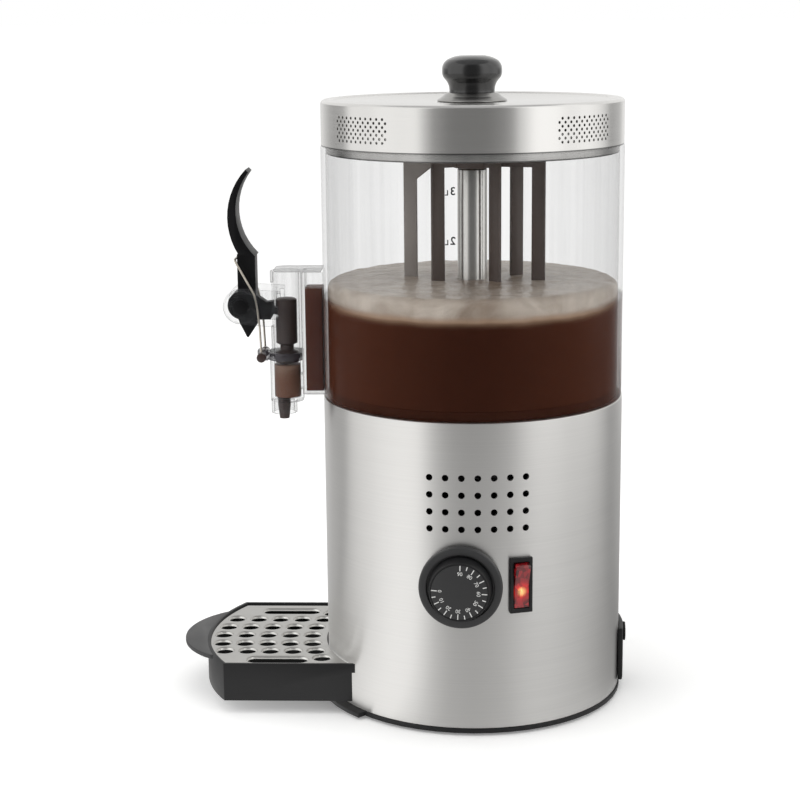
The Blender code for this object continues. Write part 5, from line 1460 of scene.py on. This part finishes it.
# The paper that the steel reflects: how light it is at each bearing from +X, in degrees towards +Y
farTones = [(-180, 0.88), (-156, 0.80), (-121, 0.40), (-110, 0.44), (-100, 1.04), (-82, 1.02), (-67, 1.12),
            (-53, 1.08), (-40, 1.12), (-34, 0.64), (-27, 0.30), (-14, 0.19), (10, 0.19), (22, 0.26),
            (29, 0.38), (35, 0.85), (47, 1.32), (61, 1.30), (75, 1.12), (92, 1.20), (104, 1.08),
            (112, 0.84), (123, 0.40), (137, 0.52), (155, 0.88), (180, 0.88)]
nearTones = [(-180, 0.60), (-157, 0.66), (-121, 0.50), (-110, 0.40), (-99, 0.66), (-82, 0.86), (-66, 1.02),
             (-52, 1.15), (-38, 1.15), (-30, 0.91), (-22, 0.70), (-12, 0.58), (0, 0.55), (12, 0.58),
             (25, 0.63), (45, 0.58), (65, 0.56), (80, 0.51), (98, 0.42), (120, 0.31), (153, 0.42),
             (180, 0.55)]
wrapLine = [(0.105, -0.0014), (0.30, -0.0014), (0.70, 0.0), (1.05, 0.03), (1.35, 0.14), (1.50, 0.35),
            (1.50, 0.55), (1.50, 0.80), (1.50, 2.30)]
lamps = {  # place, size in metres, power in watts
    "key_left": ((0.55, -1.45, 1.05), 1.3, 9.0),
    "fill_right": ((0.75, 1.35, 0.85), 1.4, 5.0),
    "top": ((0.0, 0.0, 1.9), 1.6, 9.0),
}
lampAim = Vector((0, 0, 0.2))


def ease(value, low, high):  # 0 below low, 1 above high, and an even curve between them
    share = min(1.0, max(0.0, (value - low) / (high - low)))
    return share * share * (3 - 2 * share)


def toneAt(tones, bearing):
    for (low, lowTone), (high, highTone) in zip(tones, tones[1:]):
        if low <= bearing <= high:
            return lowTone + (highTone - lowTone) * ease(bearing, low, high)
    return tones[0][1]


def paperTone(bearing, reach, height):
    near, far = toneAt(nearTones, bearing), toneAt(farTones, bearing)
    # the paper close to the drum's right side
    beside = ease(bearing, *studio["sideBearings"]) * ease(-reach, *studio["sideReach"])
    near *= 1 - studio["sideShade"] * beside
    tone = near + (far - near) * ease(reach, *studio["farReach"])
    behind = ease(abs(bearing), *studio["backBearings"]) * ease(height, *studio["backHeights"])
    return tone + (studio["backTone"] - tone) * behind


def makeFloor():
    shape, reach = bmesh.new(), studio["floorReach"]
    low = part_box("foot_1")[0].z
    shape.faces.new([shape.verts.new((x, y, low)) for x, y in
                     ((-reach, -reach), (reach, -reach), (reach, reach), (-reach, reach))])
    floor = newPiece("studio_floor", shape)
    material, tree, shader = startMaterial("matt_paper_floor", {
        "Base Color": linear(studio["floorTone"]), "Roughness": 0.9, "Specular IOR Level": 0.0,
        "Emission Color": (1.0, 1.0, 1.0, 1.0)})
    fibre = addNode(tree, "TexNoise", {"Scale": 1.0, "Detail": 2.0}, {"Vector": scaledPlace(tree, 300.0)})
    relief = addNode(tree, "Bump", {"Strength": 0.02, "Distance": 0.0002}, {"Height": fibre})
    away = addNode(tree, "VectorMath", lengthOf,
                   {0: addNode(tree, "TexCoord").outputs["Object"]})
    # painted shadow: the camera's glow on the floor is lowest round the drum's base
    share = addNode(tree, "Math", {"operation": "DIVIDE", 1: studio["liftReach"]}, {0: away})
    ramp = addNode(tree, "ValToRGB", links={"Fac": share})
    setStops(ramp, studio["liftsAndBaseShade"])
    seen = addNode(tree, "LightPath").outputs["Is Camera Ray"]
    lift = addNode(tree, "Math", multiply, {0: seen, 1: ramp})
    joinTo(shader, {"Normal": relief, "Emission Strength": lift})
    floor.data.materials.append(material)


def makeLamps():
    for name, (place, size, power) in lamps.items():
        light = bpy.data.lights.new(name, "AREA")
        light.shape = "SQUARE"
        light.size = size
        light.energy = power
        lamp = bpy.data.objects.new(name, light)
        lamp.location = place
        lamp.rotation_euler = (lampAim - Vector(place)).to_track_quat("-Z", "Y").to_euler()
        lamp.visible_glossy = False
        bpy.context.scene.collection.objects.link(lamp)


def makeWrap():
    shape = bmesh.new()
    tone = shape.verts.layers.float.new("tone")
    columns = studio["wrapColumns"]
    line = []
    for (reach, height), (nextReach, nextHeight) in zip(wrapLine, wrapLine[1:]):
        for step in range(studio["wrapRows"]):
            share = step / studio["wrapRows"]
            line.append((reach + (nextReach - reach) * share, height + (nextHeight - height) * share))
    grid = []
    for reach, height in line + [wrapLine[-1]]:
        ring = []
        for column in range(columns):
            bearing = -180 + 360 * column / columns
            corner = shape.verts.new((*polar(reach, math.radians(bearing)), height))
            corner[tone] = paperTone(bearing, reach, height)
            ring.append(corner)
        grid.append(ring)
    for lower, upper in zip(grid, grid[1:]):
        for here in range(columns):
            there = (here + 1) % columns
            shape.faces.new((lower[here], lower[there], upper[there], upper[here]))
    wrap = newPiece("paper_wrap", shape)
    material = bpy.data.materials.new("toned_paper_wrap")
    material.use_nodes = True
    tree = material.node_tree
    tree.nodes.clear()
    strength = addNode(tree, "Attribute", {"attribute_name": "tone"}).outputs["Fac"]
    light = addNode(tree, "Emission", {"Color": (1.0, 0.995, 0.985, 1.0)}, {"Strength": strength})
    addNode(tree, "OutputMaterial", links={"Surface": light})
    wrap.data.materials.append(material)
    wrap.visible_camera = False
    wrap.visible_diffuse = False
    wrap.visible_transmission = False
    wrap.visible_shadow = False


def makeWorld():
    world = bpy.data.worlds.new("white_studio")
    bpy.context.scene.world = world
    world.use_nodes = True
    tree = world.node_tree
    tree.nodes.clear()
    ways = addNode(tree, "LightPath").outputs
    seen = addNode(tree, "Math", greater,
                   {0: ways["Is Camera Ray"], 1: ways["Is Transmission Ray"]})
    up = addNode(tree, "SeparateXYZ", links={0: addNode(tree, "TexCoord").outputs["Generated"]}).outputs["Z"]
    ceiling = addNode(tree, "MapRange",
                      {"From Min": studio["ceilingFrom"], "From Max": studio["ceilingFull"],
                       **falling, **eased}, {"Value": up})
    gloss = addNode(tree, "Math", multiply, {0: ways["Is Glossy Ray"], 1: ceiling})
    white = addNode(tree, "Math", greater, {0: seen, 1: gloss})
    strength = addNode(tree, "MapRange", {"To Min": studio["ambient"], "To Max": 1.0}, {"Value": white})
    background = addNode(tree, "Background", {"Color": (1.0, 1.0, 1.0, 1.0)}, {"Strength": strength})
    addNode(tree, "OutputWorld", links={"Surface": background})


def makeCamera():
    camera = bpy.data.cameras.new("camera")
    camera.lens = studio["lens"]
    camera.sensor_width = studio["sensor"]
    camera.clip_start = 0.01
    eye = bpy.data.objects.new("camera", camera)
    bpy.context.scene.collection.objects.link(eye)
    yaw, pitch, roll = studio["yaw"], studio["pitch"], studio["roll"]
    forward = Vector((-math.cos(yaw) * math.cos(pitch), -math.sin(yaw) * math.cos(pitch), -math.sin(pitch)))
    right = Vector((-math.sin(yaw), math.cos(yaw), 0))
    up = right.cross(forward)
    axes = Matrix((right * math.cos(roll) + up * math.sin(roll),
                   up * math.cos(roll) - right * math.sin(roll), -forward)).transposed()
    eye.matrix_world = Matrix.Translation(studio["cameraPlace"]) @ axes.to_4x4()
    bpy.context.scene.camera = eye


makeFloor()
makeWrap()
makeLamps()
makeWorld()
makeCamera()
bpy.context.scene.view_settings.view_transform = "Standard"
print("studio made")
